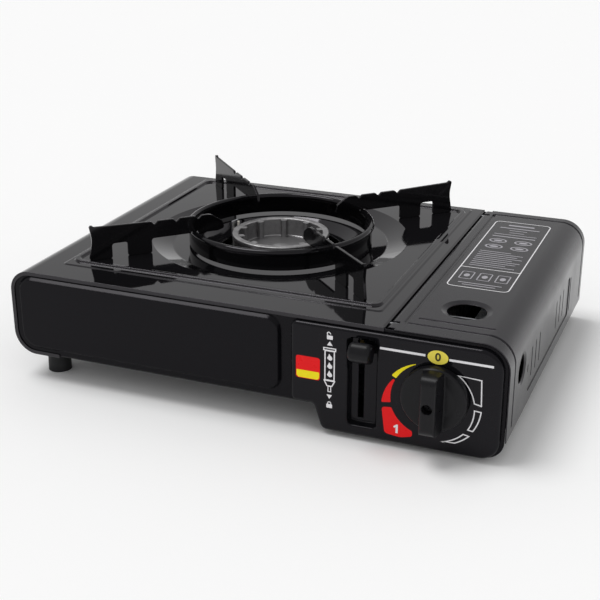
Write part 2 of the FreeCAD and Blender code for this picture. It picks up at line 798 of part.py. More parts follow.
def heat_divider():
    """Upright sheet between the burner side and the cartridge side, with its foot flange."""
    path = [(DIVIDER_LEFT - DIVIDER_FOOT, WELL_FLOOR, 0), (DIVIDER_RIGHT, WELL_FLOOR, 2 * SHEET),
            (DIVIDER_RIGHT, BODY_TOP - SEAM_BEND - SEAM, 0)]
    depth = REAR_PANEL_FRONT - PANEL_BACK
    sheet = strip(path, 0, SHEET, front_view(PANEL_BACK)).extrude(vec(0, depth, 0))
    x0, x1 = DIVIDER_LEFT - SHEET, DIVIDER_RIGHT + SHEET
    arm_z = drive_pin_place()[1]
    clear_z = CLAMP_ARM_HEIGHT / 2 + WINDOW_CLEAR
    clamp_window = box(x0, x1, YOKE_Y - CLAMP_STROKE - WINDOW_CLEAR, YOKE_Y + CLAMP_SHEET + WINDOW_CLEAR,
                       arm_z - clear_z, arm_z + clear_z)
    pipe_hole = rod(GAS_PIPE_RADIUS + HOLE_CLEAR, vec(x0, OUTLET_Y, GAS_LINE_Z), along("x"), x1 - x0)
    lead_hole = rod(LEAD_RADIUS + HOLE_CLEAR, vec(x0, lead_y(), lead_z()), along("x"), x1 - x0)
    heat_window = box(x0, x1, HEAT_PLATE_Y - HOLE_CLEAR, HEAT_PLATE_Y + HEAT_PLATE_WIDTH + HOLE_CLEAR,
                      FLOOR_TOP - SEAM, FLOOR_TOP + HEAT_PLATE + SEAM)
    around_channel = box(x0, x1, PANEL_BACK - SHEET, CONTROL_FACE + CHANNEL_DEPTH + CHANNEL_WALL + SEAM,
                         CHANNEL_BOTTOM - CHANNEL_WALL - SEAM, CHANNEL_TOP + CHANNEL_WALL + SEAM)
    return sheet.cut([clamp_window, pipe_hole, lead_hole, heat_window, around_channel])


def channel_centre():
    """Middle of the channel, whose slot lies left of it."""
    return LEVER_X + CHANNEL_WIDTH / 2 - LEVER_SLOT_WIDTH / 2 - SLOT_FROM_CHANNEL


def channel_outline(grow, y):
    """The channel's outline in its own front plane, grown on all sides."""
    centre, half = channel_centre(), CHANNEL_WIDTH / 2 + grow
    return outline(rounded_rectangle(centre - half, centre + half, CHANNEL_BOTTOM - grow, CHANNEL_TOP + grow,
                                     CHANNEL_CORNER + grow), front_view(y))


def control_outline(inset, y):
    low, high = WELL_BOTTOM + inset, CONTROL_TOP - inset
    left, right = CONTROL_LEFT + inset, CONTROL_RIGHT - inset
    foot = FLOOR_TOP + SHEET + inset
    points = [
        (left, high, CONTROL_CORNER - inset),
        (left, foot, CONTROL_CORNER - inset),
        (STEP_TOP_X, foot, STEP_TOP_RADIUS),
        (STEP_FOOT_X + inset, low, STEP_FOOT_RADIUS),
        (right, low, WELL_CORNER - inset),
        (right, high, CONTROL_TOP_RIGHT_CORNER - inset),
    ]
    return outline(points, front_view(y))


def control_panel():
    """Raised fascia with round edges and the drafted channel that the lever's cap travels in."""
    shell = Part.Face(control_outline(0, PANEL_FRONT)).extrude(vec(0, CONTROL_FACE - PANEL_FRONT, 0))
    shell = fillet_where(shell, CONTROL_EDGE, lambda edge: edge.BoundBox.YMax < CONTROL_FACE + NEAR)
    hollow = Part.Face(control_outline(CONTROL_WALL, CONTROL_FACE + CONTROL_WALL))
    hollow = hollow.extrude(vec(0, PANEL_FRONT - CONTROL_FACE, 0))
    floor_y = CONTROL_FACE + CHANNEL_DEPTH
    tray = Part.makeLoft([channel_outline(CHANNEL_WALL, CONTROL_FACE + CONTROL_WALL),
                          channel_outline(CHANNEL_WALL - CHANNEL_DRAFT, floor_y + CHANNEL_WALL)], True)
    channel = Part.makeLoft([channel_outline(0, CONTROL_FACE + CHANNEL_LIP),
                             channel_outline(-CHANNEL_DRAFT, floor_y)], True)
    mouth = Part.makeLoft([channel_outline(2 * CHANNEL_LIP, CONTROL_FACE - CHANNEL_LIP),
                           channel_outline(0, CONTROL_FACE + CHANNEL_LIP)], True)
    slot = box(LEVER_X - LEVER_SLOT_WIDTH / 2, LEVER_X + LEVER_SLOT_WIDTH / 2, CONTROL_FACE,
               floor_y + CHANNEL_WALL * 2, LEVER_SLOT_BOTTOM, LEVER_SLOT_TOP)
    shaft = rod(SHAFT_HOLE_RADIUS, vec(VALVE_X, CONTROL_FACE - SHEET, VALVE_HEIGHT), along("y"),
                CONTROL_WALL * 3)
    boss_start = CONTROL_FACE + CONTROL_WALL / 2
    bosses = [rod(BOSS_RADIUS, vec(x, boss_start, z), along("y"), PANEL_FRONT - boss_start)
              for x, z in boss_places()]
    return shell.cut(hollow).fuse([tray] + bosses).cut([channel, mouth, slot, shaft])


def boss_places():
    """Places of the bosses that screw the control panel to the front panel."""
    left, right = CONTROL_LEFT + BOSS_INSET, CONTROL_RIGHT - BOSS_INSET
    low, high = WELL_BOTTOM + LOW_BOSS_INSET, CONTROL_TOP - BOSS_INSET
    return [(left, high), (left, FLOOR_TOP + LOW_BOSS_INSET), (right, low), (right, high)]


def control_panel_screws():
    """Screw heads behind the front panel, one on each boss."""
    heads = []
    for x, z in boss_places():
        heads.append(rod(SCREW_HEAD_RADIUS, vec(x, PANEL_BACK, z), along("y"), SCREW_HEAD_HEIGHT))
    return Part.makeCompound(heads)


# Cartridge lid

def lid_path():
    """Outer line of the lid, from the curl round its hinge pins to the foot of its side."""
    seam = HINGE_X - LID_CURL_RADIUS
    curl_foot = HINGE_Z - LID_CURL_RADIUS
    return [
        (HINGE_X + CURL_END, curl_foot, 0),
        (seam, curl_foot, LID_CURL_RADIUS),
        (seam, BODY_TOP, LID_CURL_RADIUS),
        (RIGHT, BODY_TOP, LID_CORNER),
        (RIGHT, LID_SIDE_BOTTOM, 0),
    ]


def hinge_places():
    """Depths of the two hinge plates' front faces."""
    return (FRONT + HINGE_INSET, REAR - HINGE_INSET - HINGE_PLATE)


def groove_section(level, grow, depth, place):
    """Section of a pressed groove, or of the sheet round it, as a trapezoid."""
    top, foot = LID_GROOVE_WIDTH / 2 + grow, LID_GROOVE_WIDTH / 2 - LID_GROOVE_SLOPE + grow
    return outline([(-top, level, 0), (top, level, 0), (foot, -depth, 0), (-foot, -depth, 0)], place)


def end_groove(y, longer, level, grow, depth):
    """Groove across the lid, round its corner and down its side."""
    left = SEAM_X + LID_GROOVE_FROM_SEAM - longer
    path = [(left, BODY_TOP, 0), (RIGHT, BODY_TOP, LID_CORNER),
            (RIGHT, LID_SIDE_BOTTOM + LID_GROOVE_ABOVE_EDGE - longer, 0)]
    section = groove_section(level, grow, depth, lambda u, v: vec(left, y + u, BODY_TOP + v))
    return outline(path, front_view(y), closed=False).makePipeShell([section], True, False)


def seam_groove(front, rear, longer, level, grow, depth):
    """Straight groove along the seam, from the front groove to the rear one."""
    x = SEAM_X + LID_GROOVE_FROM_SEAM
    section = groove_section(level, grow, depth, lambda u, v: vec(x + u, front - longer, BODY_TOP + v))
    return Part.Face(section).extrude(vec(0, rear - front + 2 * longer, 0))


def front_crease(longer, level, grow, depth):
    """Short groove between the front groove and the round hole."""
    x0, x1 = SEAM_X + CREASE_FROM_SEAM, RIGHT - CREASE_FROM_RIGHT
    y = FRONT + CREASE_FROM_FRONT
    section = groove_section(level, grow, depth, lambda u, v: vec(x0 - longer, y + u, BODY_TOP + v))
    return Part.Face(section).extrude(vec(x1 - x0 + 2 * longer, 0, 0))


def lid_grooves(shell):
    """Presses the grooves, each with the sheet behind it moved inwards."""
    front, rear = FRONT + LID_GROOVE_FROM_FRONT, REAR - LID_GROOVE_FROM_REAR
    kinds = ((SHEET, -SHEET / 2, SHEET / 2, LID_GROOVE_DEPTH + SHEET), (0, SEAM, 0, LID_GROOVE_DEPTH))
    sheets, cuts = [[end_groove(front, *kind), end_groove(rear, *kind), seam_groove(front, rear, *kind),
                     front_crease(*kind)] for kind in kinds]
    return shell.fuse(sheets).cut(cuts)


def lid_side_panel(shell):
    """Sunk field on the lid's side, with two sets of louvres and a slot past each end."""
    y0, y1 = FRONT + LID_PANEL_FRONT, FRONT + LID_PANEL_BACK
    points = rounded_rectangle(y0, y1, LID_PANEL_BOTTOM, LID_PANEL_TOP, LID_PANEL_CORNER)
    cut = prism(points, side_view(RIGHT), vec(-LID_PANEL_DEPTH, 0, 0))
    back = prism(points, side_view(RIGHT - LID_PANEL_DEPTH), vec(-SHEET, 0, 0))
    shell = shell.cut(cut).fuse(back)
    slots = [(FRONT + start + i * LOUVRE_PITCH, LOUVRE_WIDTH, LOUVRE_BOTTOM, LOUVRE_HEIGHT)
             for start in (LOUVRE_FRONT_SET, LOUVRE_BACK_SET) for i in range(LOUVRE_COUNT)]
    slots.append((FRONT + SHORT_SLOT_FROM_FRONT, LOUVRE_WIDTH, SHORT_SLOT_BOTTOM, SHORT_SLOT_HEIGHT))
    slots.append((FRONT + LONG_SLOT_FROM_FRONT, LONG_SLOT_WIDTH, LONG_SLOT_BOTTOM, LONG_SLOT_HEIGHT))
    for y, width, low, height in slots:
        points = slot_outline(y, width, low, low + height)
        shell = shell.cut(prism(points, side_view(RIGHT + SHEET), vec(-SHEET * 4, 0, 0)))
    return shell


def dished_rim(radius, rim, dip, place, centre, axis):
    """Sheet round a hole, dipping inwards from its rim."""
    outer = [(radius + rim, 0, 0), (radius, -dip, 0)]
    section = outer + shifted(outer, SHEET)[::-1][:1] + [(radius + rim, -SHEET, 0)]
    return Part.Face(outline(section, place)).revolve(centre, along(axis), 360)


def lid_hole(shell):
    """Round hole with its dipped rim near the front of the lid."""
    x, y = RIGHT - LID_HOLE_FROM_RIGHT, FRONT + LID_HOLE_FROM_FRONT
    rim = dished_rim(LID_HOLE_RADIUS, LID_HOLE_RIM, LID_HOLE_DIP,
                     lambda u, v: vec(x + u, y, BODY_TOP + v), vec(x, y, 0), "z")
    shell = shell.cut(rod(LID_HOLE_RADIUS + LID_HOLE_RIM, vec(x, y, 0), along("z"), BODY_TOP * 2))
    return shell.fuse(rim)


def lid_port(shell):
    """Round port with its dipped rim on the lid's side."""
    y, z = FRONT + LID_PORT_FROM_FRONT, LID_PORT_HEIGHT
    rim = dished_rim(LID_PORT_RADIUS, LID_PORT_RIM, LID_PORT_DIP,
                     lambda u, v: vec(RIGHT + v, y + u, z), vec(0, y, z), "x")
    start = vec(RIGHT - SHEET * 2, y, z)
    shell = shell.cut(rod(LID_PORT_RADIUS + LID_PORT_RIM, start, along("x"), SHEET * 3))
    return shell.fuse(rim)


def cartridge_lid():
    """Bent sheet over the cartridge, curled round its hinge pins at the seam."""
    shell = strip(lid_path(), 0, -SHEET, front_view(FRONT)).extrude(vec(0, BODY_DEPTH, 0))
    shell = lid_port(lid_side_panel(lid_hole(lid_grooves(shell))))
    clear_x = HINGE_X + PANEL_TOP - HINGE_Z + 3 * SEAM
    reliefs = [(FRONT - SHEET, FRONT + LID_END_RELIEF), (REAR - LID_END_RELIEF, REAR + SHEET)]
    play = (HINGE_NOTCH - HINGE_PLATE) / 2
    reliefs += [(y - play, y + HINGE_PLATE + play) for y in hinge_places()]
    low, high = HINGE_Z - 2 * LID_CURL_RADIUS, BODY_TOP + SHEET
    return shell.cut([box(SEAM_X - SHEET, clear_x, y0, y1, low, high) for y0, y1 in reliefs])


def lid_hinge_pins():
    """Two hinge plates on the seam fold, each with its pin in the lid's curl."""
    solids = []
    for y, direction in zip(hinge_places(), (1, -1)):
        points = rounded_rectangle(
            SEAM_X, HINGE_X + HINGE_PIN_RADIUS + HINGE_PLATE_PAST, HINGE_Z - HINGE_PLATE_DROP,
            HINGE_Z + HINGE_PIN_RADIUS - HINGE_PLATE_BELOW, HINGE_PLATE_ROUND)
        plate = prism(points, front_view(y), vec(0, HINGE_PLATE, 0))
        start = y if direction > 0 else y + HINGE_PLATE
        pin = rod(HINGE_PIN_RADIUS, vec(HINGE_X, start, HINGE_Z), vec(0, direction, 0), HINGE_PIN_LENGTH)
        solids.append(plate.fuse(pin))
    return Part.makeCompound(solids)


def lid_catch():
    """Two sheet springs on the well's right wall that bulge to the lid's side."""
    wall = WALL_RIGHT - SHEET
    reach = RIGHT - SHEET - LID_PANEL_DEPTH - SEAM
    path = [
        (wall, WELL_WALL_TOP - CATCH_GRIP, 0), (wall, WELL_WALL_TOP + CATCH_CREST / 4, CATCH_SHEET / 2),
        (reach, WELL_WALL_TOP + CATCH_CREST, CATCH_SHEET), (wall, CATCH_TOP, 0),
    ]
    solids = []
    for y in (FRONT + CATCH_FROM_FRONT, REAR - CATCH_FROM_BACK):
        solids.append(strip(path, 0, CATCH_SHEET, front_view(y)).extrude(vec(0, CATCH_WIDTH, 0)))
    return Part.makeCompound(solids)


# Cartridge side

def tray_point(angle, radius):
    turn = math.radians(angle)
    return (VALVE_X + radius * math.sin(turn), VALVE_HEIGHT - radius * math.cos(turn))


def cartridge_tray():
    """Cradle that follows the cartridge below, with a leg to the well floor on each side."""
    radius = CARTRIDGE_RADIUS + CARTRIDGE_REST
    place = front_view(FRONT + TRAY_FRONT)
    ends = []
    for r in (radius, radius + TRAY_SHEET):
        ends.append([tray_point(angle, r) for angle in (-TRAY_HALF_ANGLE, 0, TRAY_HALF_ANGLE)])
    (a, b, c), (d, e, f) = ends
    edges = [
        Part.Arc(place(*a), place(*b), place(*c)).toShape(),
        Part.LineSegment(place(*c), place(*f)).toShape(),
        Part.Arc(place(*f), place(*e), place(*d)).toShape(),
        Part.LineSegment(place(*d), place(*a)).toShape(),
    ]
    travel = vec(0, TRAY_BACK - TRAY_FRONT, 0)
    cradle = Part.Face(Part.Wire(edges)).extrude(travel)
    for side in (-1, 1):
        top = tray_point(side * TRAY_HALF_ANGLE, radius)[1]
        x, foot = tray_point(side * TRAY_HALF_ANGLE, radius + TRAY_SHEET)
        inner_x = x - side * TRAY_SHEET
        leg = [(inner_x, foot - TRAY_SHEET / 5, 0), (x, top, 0), (x, WELL_FLOOR, 0), (inner_x, WELL_FLOOR, 0)]
        cradle = cradle.fuse(prism(leg, place, travel))
    for i in range(TRAY_HOLES):
        y = FRONT + TRAY_FRONT + (TRAY_BACK - TRAY_FRONT) * (i + 1) / (TRAY_HOLES + 1)
        cradle = cradle.cut(rod(TRAY_HOLE_RADIUS, vec(VALVE_X, y, 0), along("z"), VALVE_HEIGHT))
    return cradle


def heat_transfer_plate():
    """Strip that carries warmth from the burner to the cartridge."""
    start = BURNER_X + CUP_FOOT_RADIUS + HEAT_PLATE_FROM_CUP
    drop = VALVE_HEIGHT - FLOOR_TOP - HEAT_PLATE
    end = VALVE_X - math.sqrt((CARTRIDGE_RADIUS + CARTRIDGE_REST) ** 2 - drop ** 2)
    path = [(start, FLOOR_TOP + HEAT_PLATE_REACH, 0), (start, FLOOR_TOP, HEAT_PLATE * 2), (end, FLOOR_TOP, 0)]
    face = strip(path, 0, HEAT_PLATE, front_view(HEAT_PLATE_Y))
    return face.extrude(vec(0, HEAT_PLATE_WIDTH, 0))


def regulator_body():
    """Die-cast block with its neck, its outlet and the flange of its diaphragm."""
    half_w, half_h = REGULATOR_WIDTH / 2, REGULATOR_HEIGHT / 2
    left, right = VALVE_X - half_w, VALVE_X + half_w
    points = rounded_rectangle(left, right, VALVE_HEIGHT - half_h, VALVE_HEIGHT + half_h, REGULATOR_CORNER)
    block = prism(points, front_view(BLOCK_FRONT_Y), vec(0, REGULATOR_BLOCK, 0))
    neck = rod(NECK_RADIUS, vec(VALVE_X, NECK_FRONT_Y, VALVE_HEIGHT), along("y"), NECK_LENGTH)
    outlet_x = left - OUTLET_LENGTH
    outlet = rod(OUTLET_RADIUS, vec(outlet_x, OUTLET_Y, GAS_LINE_Z), along("x"), OUTLET_LENGTH)
    flange = rod(DIAPHRAGM_RADIUS, vec(right, diaphragm_y(), VALVE_HEIGHT), along("x"), DIAPHRAGM_FLANGE)
    chamber = rod(CHAMBER_RADIUS, vec(VALVE_X, diaphragm_y(), VALVE_HEIGHT), along("x"), half_w)
    shaft = rod(SHAFT_RADIUS + RUNNING_FIT, vec(VALVE_X, NECK_FRONT_Y - 1, VALVE_HEIGHT), along("y"),
                SHAFT_IN_VALVE + 2)
    pipe = rod(GAS_PIPE_RADIUS + SEAT_FIT, vec(outlet_x - 1, OUTLET_Y, GAS_LINE_Z), along("x"),
               PIPE_IN_FITTING + 1)
    return block.fuse([neck, outlet, flange, chamber]).cut([shaft, pipe])


def diaphragm_y():
    return BLOCK_FRONT_Y + REGULATOR_BLOCK - DIAPHRAGM_RADIUS


def diaphragm_cover():
    """Stepped round cover with its dome and the vent in the middle."""
    start = VALVE_X + REGULATOR_WIDTH / 2 + DIAPHRAGM_FLANGE
    y = diaphragm_y()
    inner = DIAPHRAGM_RADIUS - DIAPHRAGM_STEP
    points = [
        (0, 0, 0), (DIAPHRAGM_RADIUS, 0, 0), (DIAPHRAGM_RADIUS, COVER_RIM, COVER_ROUND),
        (inner, COVER_RIM, 0), (inner - COVER_SLOPE, DIAPHRAGM_COVER, COVER_ROUND * 2),
        (0, DIAPHRAGM_COVER, 0),
    ]
    face = Part.Face(outline(points, lambda u, v: vec(start + v, y + u, VALVE_HEIGHT)))
    dome = face.revolve(vec(start, y, VALVE_HEIGHT), along("x"), 360)
    return dome.cut(rod(COVER_VENT_RADIUS, vec(start, y, VALVE_HEIGHT), along("x"), DIAPHRAGM_COVER * 2))


def regulator_screws():
    start = VALVE_X + REGULATOR_WIDTH / 2 + DIAPHRAGM_FLANGE + COVER_RIM
    radius = DIAPHRAGM_RADIUS - DIAPHRAGM_STEP / 2
    heads = []
    for i in range(4):
        turn = math.radians(45 + 90 * i)
        place = vec(start, diaphragm_y() + radius * math.cos(turn), VALVE_HEIGHT + radius * math.sin(turn))
        heads.append(rod(REGULATOR_SCREW_RADIUS, place, along("x"), REGULATOR_SCREW_HEAD))
    return Part.makeCompound(heads)


def guide_places():
    return [(VALVE_X + side * GUIDE_SPAN / 2, GUIDE_HEIGHT) for side in (-1, 1)]


def regulator_bracket():
    """Bulkhead that holds the regulator, with its foot and the tongue that finds the collar notch."""
    half = BRACKET_WIDTH / 2
    left, right = VALVE_X - half + BRACKET_CORNER / 4, VALVE_X + half
    points = [
        (left, WELL_FLOOR, 0), (right - BRACKET_CORNER, WELL_FLOOR, BRACKET_CORNER / 2),
        (right, WELL_FLOOR + BRACKET_CORNER, BRACKET_CORNER / 2),
        (right, BRACKET_TOP - BRACKET_CORNER, BRACKET_CORNER),
        (right - BRACKET_CORNER, BRACKET_TOP, BRACKET_CORNER),
        (left + BRACKET_SHOULDER, BRACKET_TOP, BRACKET_CORNER),
        (left, BRACKET_TOP - BRACKET_SHOULDER, BRACKET_CORNER),
    ]
    plate = prism(points, front_view(REG_BACK_Y), vec(0, BRACKET_SHEET, 0))
    foot = box(VALVE_X - BRACKET_FOOT_WIDTH / 2, VALVE_X + BRACKET_FOOT_WIDTH / 2, REG_BACK_Y,
               REG_BACK_Y + BRACKET_FOOT, WELL_FLOOR, WELL_FLOOR + BRACKET_SHEET)
    high = VALVE_HEIGHT + LOCATOR_ABOVE_AXIS
    tongue = box(VALVE_X - LOCATOR_WIDTH / 2, VALVE_X + LOCATOR_WIDTH / 2, REG_BACK_Y,
                 BRACKET_BACK_Y + LOCATOR_LENGTH, high, high + BRACKET_SHEET)
    hole = rod(INLET_RADIUS + SEAM, vec(VALVE_X, REG_BACK_Y - 1, VALVE_HEIGHT), along("y"), BRACKET_SHEET + 2)
    return plate.fuse([foot, tongue]).cut(hole)


def inlet_nozzle():
    """Brass inlet that the cartridge's stem enters, seated on the bracket."""
    flange = rod(INLET_FLANGE, vec(VALVE_X, BRACKET_BACK_Y, VALVE_HEIGHT), along("y"), INLET_FLANGE_THICKNESS)
    body = rod(INLET_RADIUS, vec(VALVE_X, REG_BACK_Y, VALVE_HEIGHT), along("y"), BRACKET_SHEET + INLET_LENGTH)
    bore = rod(INLET_BORE, vec(VALVE_X, BRACKET_BACK_Y, VALVE_HEIGHT), along("y"), INLET_LENGTH + 1)
    return flange.fuse(body).cut(bore)


def inlet_seal():
    """Rubber ring on the end of the inlet."""
    outer = INLET_RADIUS - SEAL_INSET
    return ring(outer, outer - 2 * SEAL_SECTION, vec(VALVE_X, BRACKET_BACK_Y + INLET_LENGTH, VALVE_HEIGHT),
                along("y"), SEAL_SECTION)


def gas_pipe():
    """Brass pipe from the regulator's outlet to the jet, with one bend."""
    start = vec(VALVE_X - REGULATOR_WIDTH / 2 - OUTLET_LENGTH + PIPE_IN_FITTING, OUTLET_Y, GAS_LINE_Z)
    turn = math.radians(TUBE_ANGLE)
    ahead = vec(math.cos(turn), math.sin(turn), 0)
    back = (JET_Y - OUTLET_Y) / math.sin(turn)
    corner = vec(JET_X, JET_Y, GAS_LINE_Z).sub(ahead * back)
    end = vec(JET_X, JET_Y, GAS_LINE_Z).sub(ahead * JET_LENGTH)
    first, middle, last = corner_points((start.x, start.y), (corner.x, corner.y), (end.x, end.y),
                                        GAS_PIPE_BEND)
    place = top_view(GAS_LINE_Z)
    path = Part.Wire([
        Part.LineSegment(start, place(*first)).toShape(),
        Part.Arc(place(*first), place(*middle), place(*last)).toShape(),
        Part.LineSegment(place(*last), end).toShape(),
    ])
    section = Part.Wire(Part.makeCircle(GAS_PIPE_RADIUS, start, vec(-1, 0, 0)))
    return path.makePipeShell([section], True, False)


def turned_to_burner(shape):
    """Turns a shape made along +X from the jet so that it points at the burner."""
    shape = shape.copy()
    shape.rotate(vec(0, 0, 0), vec(0, 0, 1), TUBE_ANGLE)
    shape.translate(vec(JET_X, JET_Y, GAS_LINE_Z))
    return shape


def gas_jet():
    """Brass jet with a shoulder on its holder and a pointed tip."""
    stem = JET_RADIUS - JET_SHOULDER
    points = [
        (-JET_LENGTH, 0, 0), (-JET_LENGTH, JET_RADIUS, 0), (-JET_PLATE, JET_RADIUS, 0),
        (-JET_PLATE, stem, 0), (0, stem, 0), (JET_TIP, JET_NOSE, 0), (JET_TIP, 0, 0),
    ]
    face = Part.Face(outline(points, lambda u, v: vec(u, v, 0)))
    return turned_to_burner(face.revolve(vec(0, 0, 0), along("x"), 360))


def jet_bracket():
    """Plate on the base that holds the jet and the bell of the mixing tube."""
    half, leg = JET_PLATE_WIDTH / 2, JET_LEG_WIDTH / 2
    low, high = WELL_FLOOR - GAS_LINE_Z, BELL_RADIUS + JET_PLATE_MARGIN
    points = [(-leg, low, 0), (leg, low, 0), (leg, -high, JET_PLATE_ROUND), (half, -high, JET_PLATE_ROUND),
              (half, high, JET_PLATE_ROUND), (-half, high, JET_PLATE_ROUND), (-half, -high, JET_PLATE_ROUND),
              (-leg, -high, JET_PLATE_ROUND)]
    plate = prism(points, side_view(-JET_PLATE), vec(JET_PLATE, 0, 0))
    foot = box(-JET_PLATE - JET_LEG_WIDTH, 0, -leg, leg, low, low + JET_PLATE)
    hole = rod(JET_RADIUS - JET_SHOULDER + RUNNING_FIT, vec(-JET_PLATE - 1, 0, 0), along("x"), JET_PLATE + 2)
    return turned_to_burner(plate.fuse(foot).cut(hole))


def mixing_tube():
    """Venturi tube from the jet's bell to the burner's socket, with two air windows."""
    end = TUBE_RUN - SOCKET_REACH
    throat = TUBE_RADIUS - TUBE_WALL - THROAT_STEP
    flange_start = end - TUBE_FLANGE
    points = [
        (0, BELL_RADIUS, 0), (BELL_LENGTH, TUBE_RADIUS, BELL_CURVE), (flange_start, TUBE_RADIUS, 0),
        (flange_start, SOCKET_RADIUS, 0), (end, SOCKET_RADIUS, 0), (end, TUBE_RADIUS - TUBE_WALL, 0),
        (BELL_LENGTH + THROAT_LENGTH, throat, BELL_CURVE), (BELL_LENGTH, throat, BELL_CURVE),
        (0, BELL_RADIUS - TUBE_WALL, 0),
    ]
    face = Part.Face(outline(points, lambda u, v: vec(u, v, 0)))
    tube = face.revolve(vec(0, 0, 0), along("x"), 360)
    window = box(AIR_WINDOW_START, AIR_WINDOW_START + AIR_WINDOW, -BELL_RADIUS - 1, BELL_RADIUS + 1,
                 -AIR_WINDOW_HEIGHT / 2, AIR_WINDOW_HEIGHT / 2)
    return turned_to_burner(tube.cut(window))


# Burner

def solid_cup(inset):
    """Everything inside the cup's outer surface moved inwards."""
    waist = CUP_FOOT_RADIUS + CUP_FLARE - inset
    points = [
        (0, CUP_BOTTOM + inset, 0), (CUP_FOOT_RADIUS - inset, CUP_BOTTOM + inset, CUP_FOOT_ROUND - inset / 2),
        (waist, GAS_LINE_Z + SOCKET_RADIUS, CUP_WAIST_ROUND), (CUP_TOP_RADIUS - inset, CROWN_BOTTOM, 0),
        (0, CROWN_BOTTOM, 0),
    ]
    return revolved(points, BURNER_X, BURNER_Y)


def burner_cup():
    """Funnel casting under the crown, with the socket that takes the mixing tube."""
    start = TUBE_RUN - SOCKET_REACH
    reach = SOCKET_REACH - CUP_FOOT_RADIUS + CUP_WALL * 2
    socket = rod(SOCKET_RADIUS, vec(start, 0, 0), along("x"), reach)
    bore = rod(TUBE_RADIUS - TUBE_WALL, vec(start - 1, 0, 0), along("x"), reach + CUP_WALL * 2)
    return solid_cup(0).fuse(turned_to_burner(socket)).cut([solid_cup(CUP_WALL), turned_to_burner(bore)])


def burner_crown():
    """Silver crown: rim ring, skirt with flame slots, and the inner cup with its upright posts."""
    floor = CROWN_BOTTOM + BURNER_FLOOR
    rim_foot = BURNER_TOP - CROWN_RIM
    points = [
        (0, CROWN_BOTTOM, 0), (BURNER_SKIRT_RADIUS, CROWN_BOTTOM, CROWN_ROUND),
        (BURNER_SKIRT_RADIUS, rim_foot, 0), (BURNER_RADIUS, rim_foot, CROWN_ROUND),
        (BURNER_RADIUS, BURNER_TOP, CROWN_ROUND), (BURNER_INNER_RADIUS, BURNER_TOP, CROWN_ROUND),
        (BURNER_INNER_RADIUS - CROWN_DRAFT, floor, CROWN_ROUND), (0, floor, 0),
    ]
    crown = revolved(points, BURNER_X, BURNER_Y)
    slot = box(BURNER_SKIRT_RADIUS - FLAME_SLOT_DEPTH, BURNER_RADIUS, -FLAME_SLOT_WIDTH / 2,
               FLAME_SLOT_WIDTH / 2, 0, FLAME_SLOT_HEIGHT)
    slot.translate(vec(BURNER_X, BURNER_Y, rim_foot - FLAME_SLOT_HEIGHT - FLAME_SLOT_GAP))
    near, far, half = BURNER_INNER_RADIUS - POST_DEPTH, BURNER_INNER_RADIUS + CROWN_DRAFT, POST_WIDTH / 2
    post = prism([(near, -half, POST_ROUND), (far, -half, 0), (far, half, 0), (near, half, POST_ROUND)],
                 top_view(0), vec(0, 0, POST_RISE + SHEET))
    post.translate(vec(BURNER_X, BURNER_Y, floor - SHEET))
    boss = rod(CROWN_BOSS_RADIUS, vec(BURNER_X, BURNER_Y, floor - SHEET), along("z"), CROWN_BOSS_RISE + SHEET)
    posts = around_burner(post, POST_COUNT)
    return crown.cut(around_burner(slot, FLAME_SLOTS)).fuse(posts).fuse(boss)


def around_burner(shape, count):
    copies = []
    for i in range(count):
        copy = shape.copy()
        copy.rotate(vec(BURNER_X, BURNER_Y, 0), vec(0, 0, 1), 360.0 * i / count)
        copies.append(copy)
    return copies


def burner_bracket():
    """Sheet bridge that stands on the base and carries the burner cup."""
    half = BURNER_LEG_SPREAD / 2
    high = CUP_BOTTOM - BRACKET_SHEET
    path = [
        (BURNER_Y - half - BURNER_FOOT, FLOOR_TOP, 0), (BURNER_Y - half, FLOOR_TOP, BRACKET_SHEET),
        (BURNER_Y - half + BURNER_LEG_SLOPE, high, BRACKET_SHEET),
        (BURNER_Y + half - BURNER_LEG_SLOPE, high, BRACKET_SHEET),
        (BURNER_Y + half, FLOOR_TOP, BRACKET_SHEET), (BURNER_Y + half + BURNER_FOOT, FLOOR_TOP, 0),
    ]
    face = strip(path, 0, BRACKET_SHEET, side_view(BURNER_X - BURNER_LEG_WIDTH / 2))
    return face.extrude(vec(BURNER_LEG_WIDTH, 0, 0))


def burner_screws():
    """Two screws through the crown's floor."""
    heads = []
    for side in (-1, 1):
        place = vec(BURNER_X + side * BURNER_SCREW_SPREAD / 2, BURNER_Y + side * BURNER_SCREW_SHIFT,
                    CROWN_BOTTOM + BURNER_FLOOR)
        heads.append(rod(BURNER_SCREW_RADIUS, place, along("z"), BURNER_SCREW_HEAD))
    return Part.makeCompound(heads)


# Igniter

def at_electrode(radius):
    turn = math.radians(ELECTRODE_ANGLE)
    return BURNER_X + radius * math.cos(turn), BURNER_Y + radius * math.sin(turn)


def spark_electrode():
    """Ceramic sleeve with the wire that the spark leaves from."""
    x, y = at_electrode(ELECTRODE_RADIUS)
    sleeve = rod(CERAMIC_RADIUS, vec(x, y, CERAMIC_FOOT), along("z"), CERAMIC_TOP - CERAMIC_FOOT)
    wire = rod(WIRE_RADIUS, vec(x, y, CERAMIC_TOP - 1), along("z"), BURNER_TOP - CERAMIC_TOP + 1)
    return sleeve.fuse(wire)


